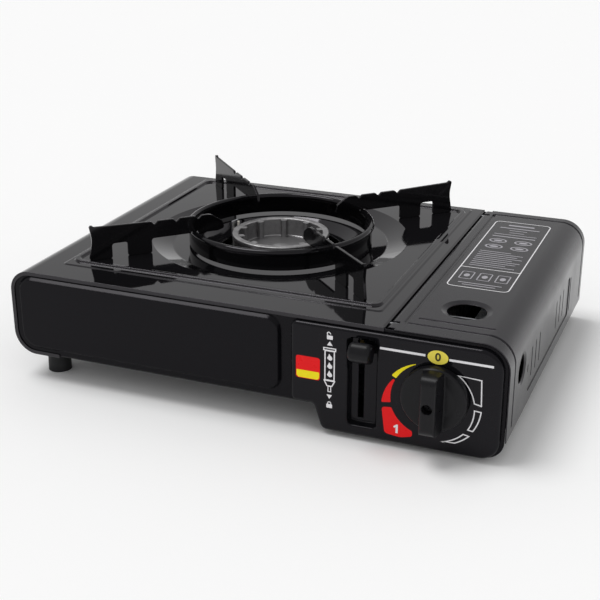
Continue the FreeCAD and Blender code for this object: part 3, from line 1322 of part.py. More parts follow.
def electrode_bracket():
    """Clip on the burner cup that holds the sleeve, with the upright tab at the crown's edge."""
    reach = ELECTRODE_RADIUS + CERAMIC_RADIUS + CLIP_PAST_SLEEVE
    low = CROWN_BOTTOM - CLIP_BELOW_CROWN
    half = TAB_WIDTH / 2
    clip = box(CUP_TOP_RADIUS - CLIP_BELOW_CROWN, reach, -half, half, low, low + ELECTRODE_SHEET)
    tab = box(reach - ELECTRODE_SHEET, reach, -half, half, low, BURNER_TOP)
    clip = clip.fuse(tab)
    clip.rotate(vec(0, 0, 0), vec(0, 0, 1), ELECTRODE_ANGLE)
    clip.translate(vec(BURNER_X, BURNER_Y, 0))
    x, y = at_electrode(ELECTRODE_RADIUS)
    hole = rod(CERAMIC_RADIUS + SEAT_FIT, vec(x, y, CERAMIC_FOOT), along("z"), BURNER_TOP)
    return clip.cut([hole, solid_cup(0)])


def piezo_place():
    """Left, front and low corner of the piezo block."""
    left = VALVE_X - PIEZO_FROM_AXIS - PIEZO_WIDTH
    return left, NECK_FRONT_Y, VALVE_HEIGHT + PIEZO_ABOVE_AXIS


def piezo_igniter():
    """Block with its striker, on a leg that reaches back to the regulator's bracket."""
    x, y, z = piezo_place()
    points = rounded_rectangle(x, x + PIEZO_WIDTH, z, z + PIEZO_HEIGHT, PIEZO_ROUND)
    body = prism(points, front_view(y), vec(0, PIEZO_LENGTH, 0))
    right = x + PIEZO_WIDTH
    front = y - CAM_GAP - CAM_THICKNESS
    striker = box(right - STRIKER_THICKNESS, right + STRIKER_LENGTH, front, front + CAM_THICKNESS,
                  z, z + STRIKER_THICKNESS)
    stem = box(right - STRIKER_THICKNESS, right, front, y, z, z + STRIKER_THICKNESS)
    leg = box(x + PIEZO_ROUND, x + PIEZO_ROUND + PIEZO_LEG, y + PIEZO_LENGTH - PIEZO_LEG, REG_BACK_Y,
              z + PIEZO_LEG, z + PIEZO_HEIGHT / 2)
    return body.fuse([striker, stem, leg])


def lead_y():
    return NECK_FRONT_Y + PIEZO_LENGTH / 2


def lead_z():
    return VALVE_HEIGHT + PIEZO_ABOVE_AXIS + PIEZO_HEIGHT - LEAD_BELOW_TOP


def lead_points():
    """Route of the lead: straight to its clips on the base, round the burner and up to the sleeve."""
    x, y = at_electrode(ELECTRODE_RADIUS)
    left = piezo_place()[0]
    return [
        vec(left, lead_y(), lead_z()),
        vec(left - LEAD_FIRST_RUN, lead_y(), lead_z()),
        vec(BURNER_X + LEAD_TURN_RIGHT, lead_y(), LEAD_TURN_HEIGHT),
        vec(x - LEAD_TURN_LEFT, BURNER_Y - LEAD_TURN_FRONT, LEAD_SIDE_HEIGHT),
        vec(x, y, LEAD_LOW),
        vec(x, y, CERAMIC_FOOT),
    ]


def igniter_lead():
    """Lead from the piezo block to the foot of the electrode, clipped inside the casing."""
    points = lead_points()
    edges = []
    radii = []
    last = points[0]
    for before, here, after in zip(points, points[1:], points[2:]):
        a, b = before.sub(here), after.sub(here)
        run = LEAD_ARC_SHARE * min(a.Length, b.Length)
        a.normalize()
        b.normalize()
        half = a.getAngle(b) / 2
        radius = run * math.tan(half)
        start, end = here + a * run, here + b * run
        middle = here + (a + b).normalize() * (radius / math.sin(half) - radius)
        edges.append(Part.LineSegment(last, start).toShape())
        edges.append(Part.Arc(start, middle, end).toShape())
        radii.append(round(radius, 1))
        last = end
    edges.append(Part.LineSegment(last, points[-1]).toShape())
    print("igniter lead, arc radii in mm:", radii)
    section = Part.Wire(Part.makeCircle(LEAD_RADIUS, points[0], vec(-1, 0, 0)))
    return Part.Wire(edges).makePipeShell([section], True, False)


# Knob and valve shaft

def knob_grip():
    """Grip bar with drafted sides, whose ends curve back to the disc's rim."""
    back = KNOB_FACE + KNOB_DISH * 2
    base, crest = GRIP_WIDTH / 2 + GRIP_DRAFT, GRIP_WIDTH / 2
    across = [(-base, back, 0), (-crest, GRIP_FACE, GRIP_ROUND), (crest, GRIP_FACE, GRIP_ROUND),
              (base, back, 0)]
    bar = prism(across, lambda u, v: vec(VALVE_X + u, v, VALVE_HEIGHT - KNOB_RADIUS),
                vec(0, 0, 2 * KNOB_RADIUS))
    base, crest = GRIP_LENGTH / 2 + GRIP_DRAFT, GRIP_LENGTH / 2
    lengthwise = [(-base, back, 0), (-crest, GRIP_FACE, GRIP_END_ROUND), (crest, GRIP_FACE, GRIP_END_ROUND),
                  (base, back, 0)]
    side = prism(lengthwise, lambda u, v: vec(VALVE_X - KNOB_RADIUS, v, VALVE_HEIGHT + u),
                 vec(2 * KNOB_RADIUS, 0, 0))
    within = rod(KNOB_RADIUS - KNOB_EDGE / 2, vec(VALVE_X, GRIP_FACE, VALVE_HEIGHT), along("y"),
                 back - GRIP_FACE)
    return bar.common(side).common(within)


def knob():
    """Round knob with a slightly sunk face and its grip bar."""
    sunk = KNOB_FACE + KNOB_DISH
    points = [
        (0, KNOB_BACK, 0), (KNOB_RADIUS, KNOB_BACK, 0), (KNOB_RADIUS, KNOB_FACE, KNOB_EDGE),
        (KNOB_SUNK_RADIUS, sunk, KNOB_EDGE), (0, sunk, 0),
    ]
    face = Part.Face(outline(points, lambda u, v: vec(VALVE_X + u, v, VALVE_HEIGHT)))
    disc = face.revolve(vec(VALVE_X, 0, VALVE_HEIGHT), along("y"), 360)
    shaft = rod(SHAFT_RADIUS + SEAT_FIT, vec(VALVE_X, KNOB_BACK + 1, VALVE_HEIGHT), vec(0, -1, 0),
                SHAFT_IN_KNOB + 1)
    hole = rod(KNOB_SCREW_HOLE, vec(VALVE_X, GRIP_FACE - 1, VALVE_HEIGHT), along("y"), KNOB_SCREW_DEPTH + 1)
    return disc.fuse(knob_grip()).cut([shaft, hole])


def knob_screw():
    """Cross-head screw at the bottom of the hole in the grip."""
    start = GRIP_FACE + KNOB_SCREW_DEPTH
    head = rod(KNOB_SCREW_HOLE - SEAM, vec(VALVE_X, start, VALVE_HEIGHT), vec(0, -1, 0), KNOB_SCREW_HEAD)
    long, wide = CROSS_LENGTH / 2, CROSS_WIDTH / 2
    deep = KNOB_SCREW_HEAD / 2
    cross = box(-long, long, 0, deep, -wide, wide).fuse(box(-wide, wide, 0, deep, -long, long))
    cross.translate(vec(VALVE_X, start - KNOB_SCREW_HEAD, VALVE_HEIGHT))
    return head.cut(cross)


def valve_shaft():
    start = KNOB_BACK - SHAFT_IN_KNOB
    length = NECK_FRONT_Y + SHAFT_IN_VALVE - start
    return rod(SHAFT_RADIUS, vec(VALVE_X, start, VALVE_HEIGHT), along("y"), length)


def igniter_cam():
    """Disc with one rounded lobe that trips the piezo block when the knob reaches its stop."""
    y = NECK_FRONT_Y - CAM_GAP - CAM_THICKNESS
    reach = CAM_RADIUS + CAM_LOBE - LOBE_RADIUS
    disc = rod(CAM_RADIUS, vec(VALVE_X, y, VALVE_HEIGHT), along("y"), CAM_THICKNESS)
    lobe = rod(LOBE_RADIUS, vec(VALVE_X + reach, y, VALVE_HEIGHT), along("y"), CAM_THICKNESS)
    web = box(VALVE_X, VALVE_X + reach, y, y + CAM_THICKNESS, VALVE_HEIGHT - LOBE_RADIUS,
              VALVE_HEIGHT + LOBE_RADIUS)
    bore = rod(SHAFT_RADIUS + SEAT_FIT, vec(VALVE_X, y - 1, VALVE_HEIGHT), along("y"), CAM_THICKNESS + 2)
    return disc.fuse([lobe, web]).cut(bore)


# Lever and clamp

def on_lever(forward, up):
    """A point of the lever at rest, from its length along the arm and its height over it."""
    turn = math.radians(LEVER_REST_ANGLE)
    y = PIVOT_Y - forward * math.cos(turn) + up * math.sin(turn)
    z = LEVER_PIVOT_HEIGHT + forward * math.sin(turn) + up * math.cos(turn)
    return y, z


def drive_pin_place():
    turn = math.radians(LEVER_REST_ANGLE)
    return PIVOT_Y + DRIVE_RADIUS * math.sin(turn), LEVER_PIVOT_HEIGHT + DRIVE_RADIUS * math.cos(turn)


def blade_corners(start, grow):
    """Side view of the lever's blade from a place along its arm to its end, grown by a clearance."""
    half = LEVER_BLADE_HEIGHT / 2 + grow
    end = BLADE_END + grow
    return [(start, -half), (end, -half + BLADE_TAPER), (end, half - BLADE_TAPER), (start, half)]


def lock_lever():
    """Flat lever with its hub, and the drive pin that moves the cartridge clamp."""
    x0 = LEVER_X - LEVER_BLADE / 2
    blade = prism([on_lever(*corner) + (0,) for corner in blade_corners(0, 0)], side_view(x0),
                  vec(LEVER_BLADE, 0, 0))
    hub = rod(LEVER_HUB_RADIUS, vec(x0, PIVOT_Y, LEVER_PIVOT_HEIGHT), along("x"), LEVER_BLADE)
    y, z = drive_pin_place()
    pin = rod(DRIVE_PIN_RADIUS, vec(x0, y, z), along("x"),
              LEVER_BLADE + CLAMP_ARM_GAP + CLAMP_SHEET + DRIVE_PIN_PAST)
    hole = rod(PIVOT_PIN_RADIUS + RUNNING_FIT, vec(x0 - 1, PIVOT_Y, LEVER_PIVOT_HEIGHT), along("x"),
               LEVER_BLADE + 2)
    return blade.fuse([hub, pin]).cut(hole)


def lever_cap():
    """Rounded plastic cap on the lever, with the blade's slot behind."""
    near, far, half = LEVER_ARM - CAP_LENGTH / 2, LEVER_ARM + CAP_LENGTH / 2, CAP_HEIGHT / 2
    points = [on_lever(near, -half) + (CAP_NEAR_ROUND,), on_lever(far, -half) + (CAP_FAR_ROUND,),
              on_lever(far, half) + (CAP_FAR_ROUND,), on_lever(near, half) + (CAP_NEAR_ROUND,)]
    cap = prism(points, side_view(LEVER_X - CAP_LEFT), vec(CAP_WIDTH, 0, 0))
    cap = fillet_where(cap, CAP_EDGE, lambda edge: edge.BoundBox.XLength < NEAR)
    slot = [on_lever(*corner) + (0,) for corner in blade_corners(near - 1, SEAT_FIT)]
    x0 = LEVER_X - LEVER_BLADE / 2 - SEAT_FIT
    return cap.cut(prism(slot, side_view(x0), vec(LEVER_BLADE + 2 * SEAT_FIT, 0, 0)))


def lever_pivot_pin():
    """Pin that stands out of the divider and carries the lever, with a collar and a head."""
    head_x = LEVER_X - LEVER_BLADE / 2 - SEAM - PIVOT_HEAD_THICKNESS
    centre = vec(head_x, PIVOT_Y, LEVER_PIVOT_HEIGHT)
    pin = rod(PIVOT_PIN_RADIUS, centre, along("x"), DIVIDER_LEFT - head_x)
    head = rod(PIVOT_PIN_HEAD, centre, along("x"), PIVOT_HEAD_THICKNESS)
    collar = vec(DIVIDER_LEFT - PIVOT_FLANGE, PIVOT_Y, LEVER_PIVOT_HEIGHT)
    flange = rod(PIVOT_FLANGE_RADIUS, collar, along("x"), PIVOT_FLANGE)
    return pin.fuse([head, flange])


def cartridge_clamp():
    """Yoke that grips the cartridge collar, with the arm that the lever's pin moves."""
    y, z = drive_pin_place()
    low = LEVER_PIVOT_HEIGHT + PIVOT_PIN_RADIUS + CLAMP_ARM_ABOVE_PIN
    high = low + CLAMP_ARM_HEIGHT
    arm_x = LEVER_X + LEVER_BLADE / 2 + CLAMP_ARM_GAP
    arm = box(arm_x, arm_x + CLAMP_SHEET, y - CLAMP_ARM_HEIGHT / 2, YOKE_Y + CLAMP_SHEET, low, high)
    half = DRIVE_PIN_RADIUS + CLAMP_SLOT_PLAY
    top = LEVER_PIVOT_HEIGHT + DRIVE_RADIUS + half
    slot = box(arm_x - 1, arm_x + CLAMP_SHEET + 1, y - half, y + half, z - half, top)
    left, right = VALVE_X - YOKE_WIDTH / 2, VALVE_X + YOKE_WIDTH / 2
    bridge = box(arm_x, left + CLAMP_SHEET, YOKE_Y, YOKE_Y + CLAMP_SHEET, low, high)
    yoke = prism(rounded_rectangle(left, right, YOKE_BOTTOM, YOKE_TOP, YOKE_CORNER), front_view(YOKE_Y),
                 vec(0, CLAMP_SHEET, 0))
    throat = rod(YOKE_THROAT, vec(VALVE_X, YOKE_Y - 1, VALVE_HEIGHT), along("y"), CLAMP_SHEET + 2)
    mouth = box(VALVE_X - YOKE_THROAT, VALVE_X + YOKE_THROAT, YOKE_Y - 1, YOKE_Y + CLAMP_SHEET + 1,
                VALVE_HEIGHT, YOKE_TOP + 1)
    holes = [rod(GUIDE_RADIUS + GUIDE_FIT, vec(x, YOKE_Y - 1, gz), along("y"), CLAMP_SHEET + 2)
             for x, gz in guide_places()]
    return yoke.fuse([bridge, arm]).cut([throat, mouth, slot] + holes)


def clamp_guide_rods():
    length = YOKE_Y + CLAMP_SHEET + GUIDE_PAST_YOKE - BRACKET_BACK_Y
    return Part.makeCompound([rod(GUIDE_RADIUS, vec(x, BRACKET_BACK_Y, z), along("y"), length)
                              for x, z in guide_places()])


# Pan support

def pan_support_ring():
    """Band with a rolled upper edge that joins the four arms."""
    centre = RING_RADIUS - RING_ROLL
    middle = vec(BURNER_X + centre, BURNER_Y, RING_TOP - RING_ROLL)
    roll = Part.Face(Part.Wire(Part.makeCircle(RING_ROLL, middle, along("y"))))
    roll = roll.revolve(vec(BURNER_X, BURNER_Y, 0), vec(0, 0, 1), 360)
    inner = centre - RING_WALL / 2
    wall = ring(inner + RING_WALL, inner, vec(BURNER_X, BURNER_Y, RING_BOTTOM), along("z"),
                RING_TOP - RING_ROLL - RING_BOTTOM)
    return roll.fuse(wall)


def arm_teeth():
    """Notches and humps of an arm's upper edge, from the outside in."""
    points = []
    for i in range(TOOTH_COUNT):
        outer = LEG_INNER - i * TOOTH_PITCH
        points.append((outer, ARM_TOP, TOOTH_ROUND))
        points.append((outer - TOOTH_NOTCH / 2, ARM_TOP - TOOTH_DEPTH, TOOTH_FOOT_ROUND))
        points.append((outer - TOOTH_NOTCH, ARM_TOP, TOOTH_ROUND))
    return points


def arm_outline():
    """Side view of one arm as (radius, height, corner), from its outer foot round to its leg."""
    horn = ARM_OUTER - HORN_SETBACK
    roll_inner = RING_RADIUS - 2 * RING_ROLL - RING_SEAT_GAP
    roll_outer = RING_RADIUS + RING_SEAT_GAP
    outer_end = [
        (ARM_OUTER, PLATEAU_TOP, LEG_FOOT_ROUND), (ARM_WAIST, WAIST_HEIGHT, WAIST_CURVE),
        (horn, HORN_TOP, HORN_ROUND), (horn - HORN_WIDTH, ARM_TOP + HORN_FOOT, HORN_ROUND),
    ]
    beak = [
        (BEAK_TIP + BEAK_LENGTH, ARM_TOP, BEAK_CURVE), (BEAK_TIP + BEAK_LEAN, BEAK_TOP, BEAK_ROUND),
        (BEAK_TIP, BEAK_LOW, BEAK_ROUND), (BEAK_TIP + BEAK_CHIN, INNER_UNDERSIDE, BEAK_ROUND),
    ]
    seat = [
        (roll_inner, INNER_UNDERSIDE, RING_SEAT_ROUND), (roll_inner, RING_TOP, RING_SEAT_ROUND),
        (roll_outer, RING_TOP, RING_SEAT_ROUND), (roll_outer, ARM_UNDERSIDE, RING_SEAT_ROUND),
    ]
    leg = [
        (LEG_INNER, ARM_UNDERSIDE, LEG_ROUND), (LEG_INNER, PLATEAU_TOP, LEG_FOOT_ROUND),
        (LEG_SLOT_INNER, PLATEAU_TOP, LEG_FOOT_ROUND), (LEG_SLOT_INNER, LEG_SLOT_TOP, LEG_ROUND),
        (LEG_SLOT_OUTER, LEG_SLOT_TOP, LEG_ROUND), (LEG_SLOT_OUTER, PLATEAU_TOP, LEG_FOOT_ROUND),
    ]
    return outer_end + arm_teeth() + beak + seat + leg


def pan_support_arm(angle):
    """One stamped arm: horned outer end, toothed top edge, inner beak and forked leg."""
    arm = prism(arm_outline(), lambda u, v: vec(u, -ARM_SHEET / 2, v), vec(0, ARM_SHEET, 0))
    arm.rotate(vec(0, 0, 0), vec(0, 0, 1), angle)
    arm.translate(vec(BURNER_X, BURNER_Y, 0))
    return arm


# Feet and screws

def tall_foot(x, y):
    return Part.makeCone(FOOT_RADIUS, FOOT_RADIUS - FOOT_TAPER, WRAP_BOTTOM, vec(x, y, 0))


def short_foot(x, y):
    return Part.makeCone(SHORT_FOOT_RADIUS, SHORT_FOOT_RADIUS - FOOT_TAPER, WELL_BOTTOM, vec(x, y, 0))


def case_screws():
    """Screw heads under the burner floor, which hold the base to its brackets."""
    heads = []
    for x in (LEFT + CASE_SCREW_FROM_LEFT, STEP_TOP_X - CASE_SCREW_FROM_STEP):
        for y in (FRONT + CASE_SCREW_FROM_EDGE, REAR - CASE_SCREW_FROM_EDGE):
            heads.append(rod(SCREW_HEAD_RADIUS, vec(x, y, FLOOR_UNDER - SCREW_HEAD_HEIGHT), along("z"),
                             SCREW_HEAD_HEIGHT))
    return Part.makeCompound(heads)


def rear_screws():
    """Screw heads on the rear panel."""
    heads = []
    right = RIGHT - REAR_SCREW_FROM_RIGHT
    left = LEFT + REAR_SCREW_FROM_LEFT
    for x in (left, SEAM_X - REAR_SCREW_FROM_LEFT, right):
        heads.append(rod(SCREW_HEAD_RADIUS, vec(x, REAR_PANEL_BACK, FLOOR_TOP + REAR_SCREW_ABOVE_FLOOR),
                         along("y"), REAR_SCREW_HEAD))
    return Part.makeCompound(heads)


def main():
    os.makedirs("parts", exist_ok=True)
    singles = [
        top_plate, front_panel, rear_panel, base_pan, heat_divider, control_panel, cartridge_lid,
        lid_hinge_pins, lid_catch, cartridge_tray, heat_transfer_plate, regulator_body, diaphragm_cover,
        regulator_screws, regulator_bracket, inlet_nozzle, inlet_seal, gas_pipe, gas_jet, jet_bracket,
        mixing_tube, burner_cup, burner_crown, burner_bracket, burner_screws, spark_electrode,
        electrode_bracket, piezo_igniter, igniter_lead, knob, knob_screw, valve_shaft, igniter_cam,
        lock_lever, lever_cap, lever_pivot_pin, cartridge_clamp, clamp_guide_rods, pan_support_ring,
        case_screws, rear_screws, control_panel_screws,
    ]
    for make in singles:
        save(make.__name__, make())
    for i, name in enumerate(("rear_right", "rear_left", "front_left", "front_right")):
        save("pan_support_arm_" + name, pan_support_arm(FIRST_ARM_ANGLE + 90 * i))
    for side, y in (("front", FRONT + FOOT_FROM_FRONT), ("rear", REAR - FOOT_FROM_FRONT)):
        save("foot_%s_left" % side, tall_foot(LEFT + FOOT_FROM_SIDE, y))
        save("foot_%s_right" % side, short_foot(RIGHT - SHORT_FOOT_FROM_SIDE, y))


main()
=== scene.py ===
import math

import bmesh
import bpy
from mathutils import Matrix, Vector


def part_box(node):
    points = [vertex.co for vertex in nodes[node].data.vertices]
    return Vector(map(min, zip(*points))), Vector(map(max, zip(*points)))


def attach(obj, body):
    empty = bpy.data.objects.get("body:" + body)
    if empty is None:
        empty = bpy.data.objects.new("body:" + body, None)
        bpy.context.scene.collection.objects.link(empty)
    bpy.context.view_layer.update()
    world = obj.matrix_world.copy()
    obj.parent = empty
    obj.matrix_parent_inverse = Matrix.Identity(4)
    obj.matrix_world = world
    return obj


# The looks of a butane cassette stove, in metres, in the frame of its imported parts.

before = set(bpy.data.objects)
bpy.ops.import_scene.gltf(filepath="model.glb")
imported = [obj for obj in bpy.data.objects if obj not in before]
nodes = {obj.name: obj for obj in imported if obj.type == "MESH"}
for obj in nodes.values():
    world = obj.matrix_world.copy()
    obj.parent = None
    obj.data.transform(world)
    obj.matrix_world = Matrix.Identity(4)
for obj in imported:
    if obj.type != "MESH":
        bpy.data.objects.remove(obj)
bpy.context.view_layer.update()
MM = 0.001

# Camera, as the photograph was taken
CAMERA_PLACE = Vector((0.2919, -0.7361, 0.3589))
CAMERA_AZIMUTH = 22.03
CAMERA_ELEVATION = 22.02
CAMERA_LENS = 72.18
CAMERA_SENSOR = 36.0
CAMERA_NEAR = 0.01
CAMERA_FAR = 20.0

# Colours, linear
ENAMEL = (0.0032, 0.0031, 0.0037)
SUPPORT_ENAMEL = (0.0024, 0.0024, 0.0028)
FRONT_ENAMEL = (0.0032, 0.0031, 0.0040)
ENAMEL_SHEEN = (0.97, 0.93, 1.0)
LID_ENAMEL = (0.0085, 0.0082, 0.0098)
PLASTIC = (0.0058, 0.0056, 0.0070)
FASCIA = (0.0040, 0.0040, 0.0050)
ALLOY = (0.36, 0.355, 0.36)
STEEL = (0.52, 0.53, 0.55)
# Dark screw colour: on the knob screw it is painted shade of the knob's deep hole, on the rear screws a
# black finish.
SCREW_BLACK_AND_SHADE = (0.035, 0.035, 0.038)
ZINC = (0.42, 0.42, 0.43)
ALUMINIUM = (0.60, 0.59, 0.58)
BRASS = (0.70, 0.50, 0.20)
RUBBER = (0.012, 0.012, 0.013)
IVORY = (0.68, 0.65, 0.56)
LEAD_RED = (0.45, 0.03, 0.02)
CERAMIC = (0.80, 0.77, 0.70)
INK_WHITE = (0.82, 0.81, 0.83)
INK_YELLOW = (0.92, 0.78, 0.008)
INK_PALE_YELLOW = (0.86, 0.73, 0.10)
INK_RED = (0.82, 0.004, 0.006)
INK_GREY = (0.36, 0.35, 0.38)
INK_DARK = (0.05, 0.045, 0.02)
FLOOR = (0.97, 0.97, 0.97)

# Noise scales of the enamel, the zinc coating and the castings, in waves per metre
ENAMEL_HAZE = 25.0
ENAMEL_RIPPLE = 45.0
ENAMEL_PEEL = 620.0
ENAMEL_SPECKS = 1400.0
COATING_CRYSTALS = 260.0
CAST_STAINS = 110.0
CAST_PITS = 320.0
CAST_SKIN = 1300.0

# Samples of the shader that rounds the edges
EDGE_SAMPLES = 6

# Floor and light. The world's strength falls from HORIZON, level with the floor, to STUDIO at the
# height HORIZON_END of a direction one metre long.
FLOOR_REACH = 6.0
STUDIO = 0.58
HORIZON = 0.97
HORIZON_END = 0.30
LAMP = 1.35
LAMP_SPREAD = 30.0
LAMP_FROM = Vector((-0.35, -0.05, 0.93))
LAMP_DISTANCE = 2.0


# Materials

def material(name):
    made = bpy.data.materials.new(name)
    made.use_nodes = True
    return made, made.node_tree.nodes, made.node_tree.links, made.node_tree.nodes["Principled BSDF"]


def noise(tree_nodes, links, coords, scale, detail=3.0, roughness=0.5):
    node = tree_nodes.new("ShaderNodeTexNoise")
    node.inputs["Scale"].default_value = scale
    node.inputs["Detail"].default_value = detail
    node.inputs["Roughness"].default_value = roughness
    links.new(coords.outputs["Object"], node.inputs["Vector"])
    return node


def spread(tree_nodes, links, source, low, high, start=0.3, end=0.7):
    """Turns values from start to end into values from low to high."""
    node = tree_nodes.new("ShaderNodeMapRange")
    node.inputs["From Min"].default_value = start
    node.inputs["From Max"].default_value = end
    node.inputs["To Min"].default_value = low
    node.inputs["To Max"].default_value = high
    links.new(source, node.inputs["Value"])
    return node


def tint(tree_nodes, links, source, dark, light):
    """Mixes two colours by a 0 to 1 value."""
    node = tree_nodes.new("ShaderNodeMix")
    node.data_type = "RGBA"
    node.inputs["A"].default_value = (*dark, 1)
    node.inputs["B"].default_value = (*light, 1)
    links.new(source, node.inputs["Factor"])
    return node


def bump(tree_nodes, links, source, strength, distance):
    node = tree_nodes.new("ShaderNodeBump")
    node.inputs["Strength"].default_value = strength
    node.inputs["Distance"].default_value = distance
    links.new(source, node.inputs["Height"])
    return node


def soft_edges(tree_nodes, radius):
    """Normals that round the edges by this many millimetres."""
    node = tree_nodes.new("ShaderNodeBevel")
    node.samples = EDGE_SAMPLES
    node.inputs["Radius"].default_value = radius * MM
    return node


def scaled(colour, factor):
    return tuple(min(1.0, channel * factor) for channel in colour)


def surface(name, colour, roughness, metallic=0.0, variation=0.15, grain=200.0, rough_spread=0.05,
            relief=0.1, relief_depth=0.02, relief_grain=900.0, specular=0.5, edge=0.2):
    """A finish with mottled colour, uneven gloss, fine relief and softened edges."""
    made, tree_nodes, links, shader = material(name)
    coords = tree_nodes.new("ShaderNodeTexCoord")
    mottle = noise(tree_nodes, links, coords, grain)
    colours = tint(tree_nodes, links, mottle.outputs["Fac"], scaled(colour, 1 - variation),
                   scaled(colour, 1 + variation))
    links.new(colours.outputs["Result"], shader.inputs["Base Color"])
    gloss = noise(tree_nodes, links, coords, grain * 0.3)
    rough = spread(tree_nodes, links, gloss.outputs["Fac"], max(0.0, roughness - rough_spread),
                   roughness + rough_spread)
    links.new(rough.outputs["Result"], shader.inputs["Roughness"])
    fine = noise(tree_nodes, links, coords, relief_grain, 2.0)
    height = bump(tree_nodes, links, fine.outputs["Fac"], relief, relief_depth * MM)
    links.new(soft_edges(tree_nodes, edge).outputs["Normal"], height.inputs["Normal"])
    links.new(height.outputs["Normal"], shader.inputs["Normal"])
    shader.inputs["Metallic"].default_value = metallic
    shader.inputs["Specular IOR Level"].default_value = specular
    return made


def enamel(name, colour, smooth, hazy, specular, edge, ripple=0.12):
    """Black glass enamel: soft edges, a slow ripple, a fine orange peel, haze and tiny specks."""
    made, tree_nodes, links, shader = material(name)
    coords = tree_nodes.new("ShaderNodeTexCoord")
    waves = noise(tree_nodes, links, coords, ENAMEL_RIPPLE, 2.0)
    slow = bump(tree_nodes, links, waves.outputs["Fac"], ripple, 0.25 * MM)
    links.new(soft_edges(tree_nodes, edge).outputs["Normal"], slow.inputs["Normal"])
    peel = noise(tree_nodes, links, coords, ENAMEL_PEEL, 1.0)
    skin = bump(tree_nodes, links, peel.outputs["Fac"], 0.08, 0.02 * MM)
    links.new(slow.outputs["Normal"], skin.inputs["Normal"])
    links.new(skin.outputs["Normal"], shader.inputs["Normal"])
    haze = noise(tree_nodes, links, coords, ENAMEL_HAZE, 4.0)
    rough = spread(tree_nodes, links, haze.outputs["Fac"], smooth, hazy)
    links.new(rough.outputs["Result"], shader.inputs["Roughness"])
    specks = noise(tree_nodes, links, coords, ENAMEL_SPECKS, 1.0)
    colours = tint(tree_nodes, links, specks.outputs["Fac"], scaled(colour, 0.7), scaled(colour, 1.4))
    links.new(colours.outputs["Result"], shader.inputs["Base Color"])
    shader.inputs["Specular IOR Level"].default_value = specular
    shader.inputs["Specular Tint"].default_value = (*ENAMEL_SHEEN, 1)
    return made


def spangled_steel():
    """Zinc-coated sheet, with the flat crystals of the coating."""
    made, tree_nodes, links, shader = material("zinc_coated_steel")
    coords = tree_nodes.new("ShaderNodeTexCoord")
    crystals = tree_nodes.new("ShaderNodeTexVoronoi")
    crystals.inputs["Scale"].default_value = COATING_CRYSTALS
    links.new(coords.outputs["Object"], crystals.inputs["Vector"])
    split = tree_nodes.new("ShaderNodeSeparateColor")
    links.new(crystals.outputs["Color"], split.inputs["Color"])
    colours = tint(tree_nodes, links, split.outputs["Red"], scaled(STEEL, 0.75), scaled(STEEL, 1.15))
    links.new(colours.outputs["Result"], shader.inputs["Base Color"])
    rough = spread(tree_nodes, links, split.outputs["Green"], 0.28, 0.5)
    links.new(rough.outputs["Result"], shader.inputs["Roughness"])
    shader.inputs["Metallic"].default_value = 1.0
    return made


def cast_alloy(name, dark_at, bright_at):
    """Die-cast aluminium with stains, pits and a grainy skin, darker below one height and brighter above
    another: soot on the alloy and painted shade of the burner's hollow.
    """
    made, tree_nodes, links, shader = material(name)
    coords = tree_nodes.new("ShaderNodeTexCoord")
    stains = noise(tree_nodes, links, coords, CAST_STAINS, 6.0, 0.65)
    grey = spread(tree_nodes, links, stains.outputs["Fac"], 0.0, 1.0)
    stained = tint(tree_nodes, links, grey.outputs["Result"], scaled(ALLOY, 0.55), scaled(ALLOY, 1.3))
    height_of = tree_nodes.new("ShaderNodeSeparateXYZ")
    links.new(coords.outputs["Object"], height_of.inputs["Vector"])
    bright = spread(tree_nodes, links, height_of.outputs["Z"], 0.0, 1.0, dark_at, bright_at)
    # Darker low down: soot on the alloy and painted shade of the burner's hollow.
    soot_and_painted_shade = tint(tree_nodes, links, bright.outputs["Result"], scaled(ALLOY, 0.8), ALLOY)
    links.new(stained.outputs["Result"], soot_and_painted_shade.inputs["B"])
    links.new(soot_and_painted_shade.outputs["Result"], shader.inputs["Base Color"])
    rough = spread(tree_nodes, links, stains.outputs["Fac"], 0.5, 0.32)
    links.new(rough.outputs["Result"], shader.inputs["Roughness"])
    skin = noise(tree_nodes, links, coords, CAST_SKIN, 3.0)
    height = bump(tree_nodes, links, skin.outputs["Fac"], 0.45, 0.08 * MM)
    pits = noise(tree_nodes, links, coords, CAST_PITS, 1.0)
    pitted = bump(tree_nodes, links, pits.outputs["Fac"], 0.3, 0.15 * MM)
    links.new(height.outputs["Normal"], pitted.inputs["Normal"])
    links.new(pitted.outputs["Normal"], shader.inputs["Normal"])
    shader.inputs["Metallic"].default_value = 1.0
    return made


def ink(name, colour):
    return surface(name, colour, 0.32, variation=0.05, grain=700.0, rough_spread=0.06, relief=0.06,
                   relief_depth=0.01, relief_grain=2500.0, specular=0.2, edge=0.02)


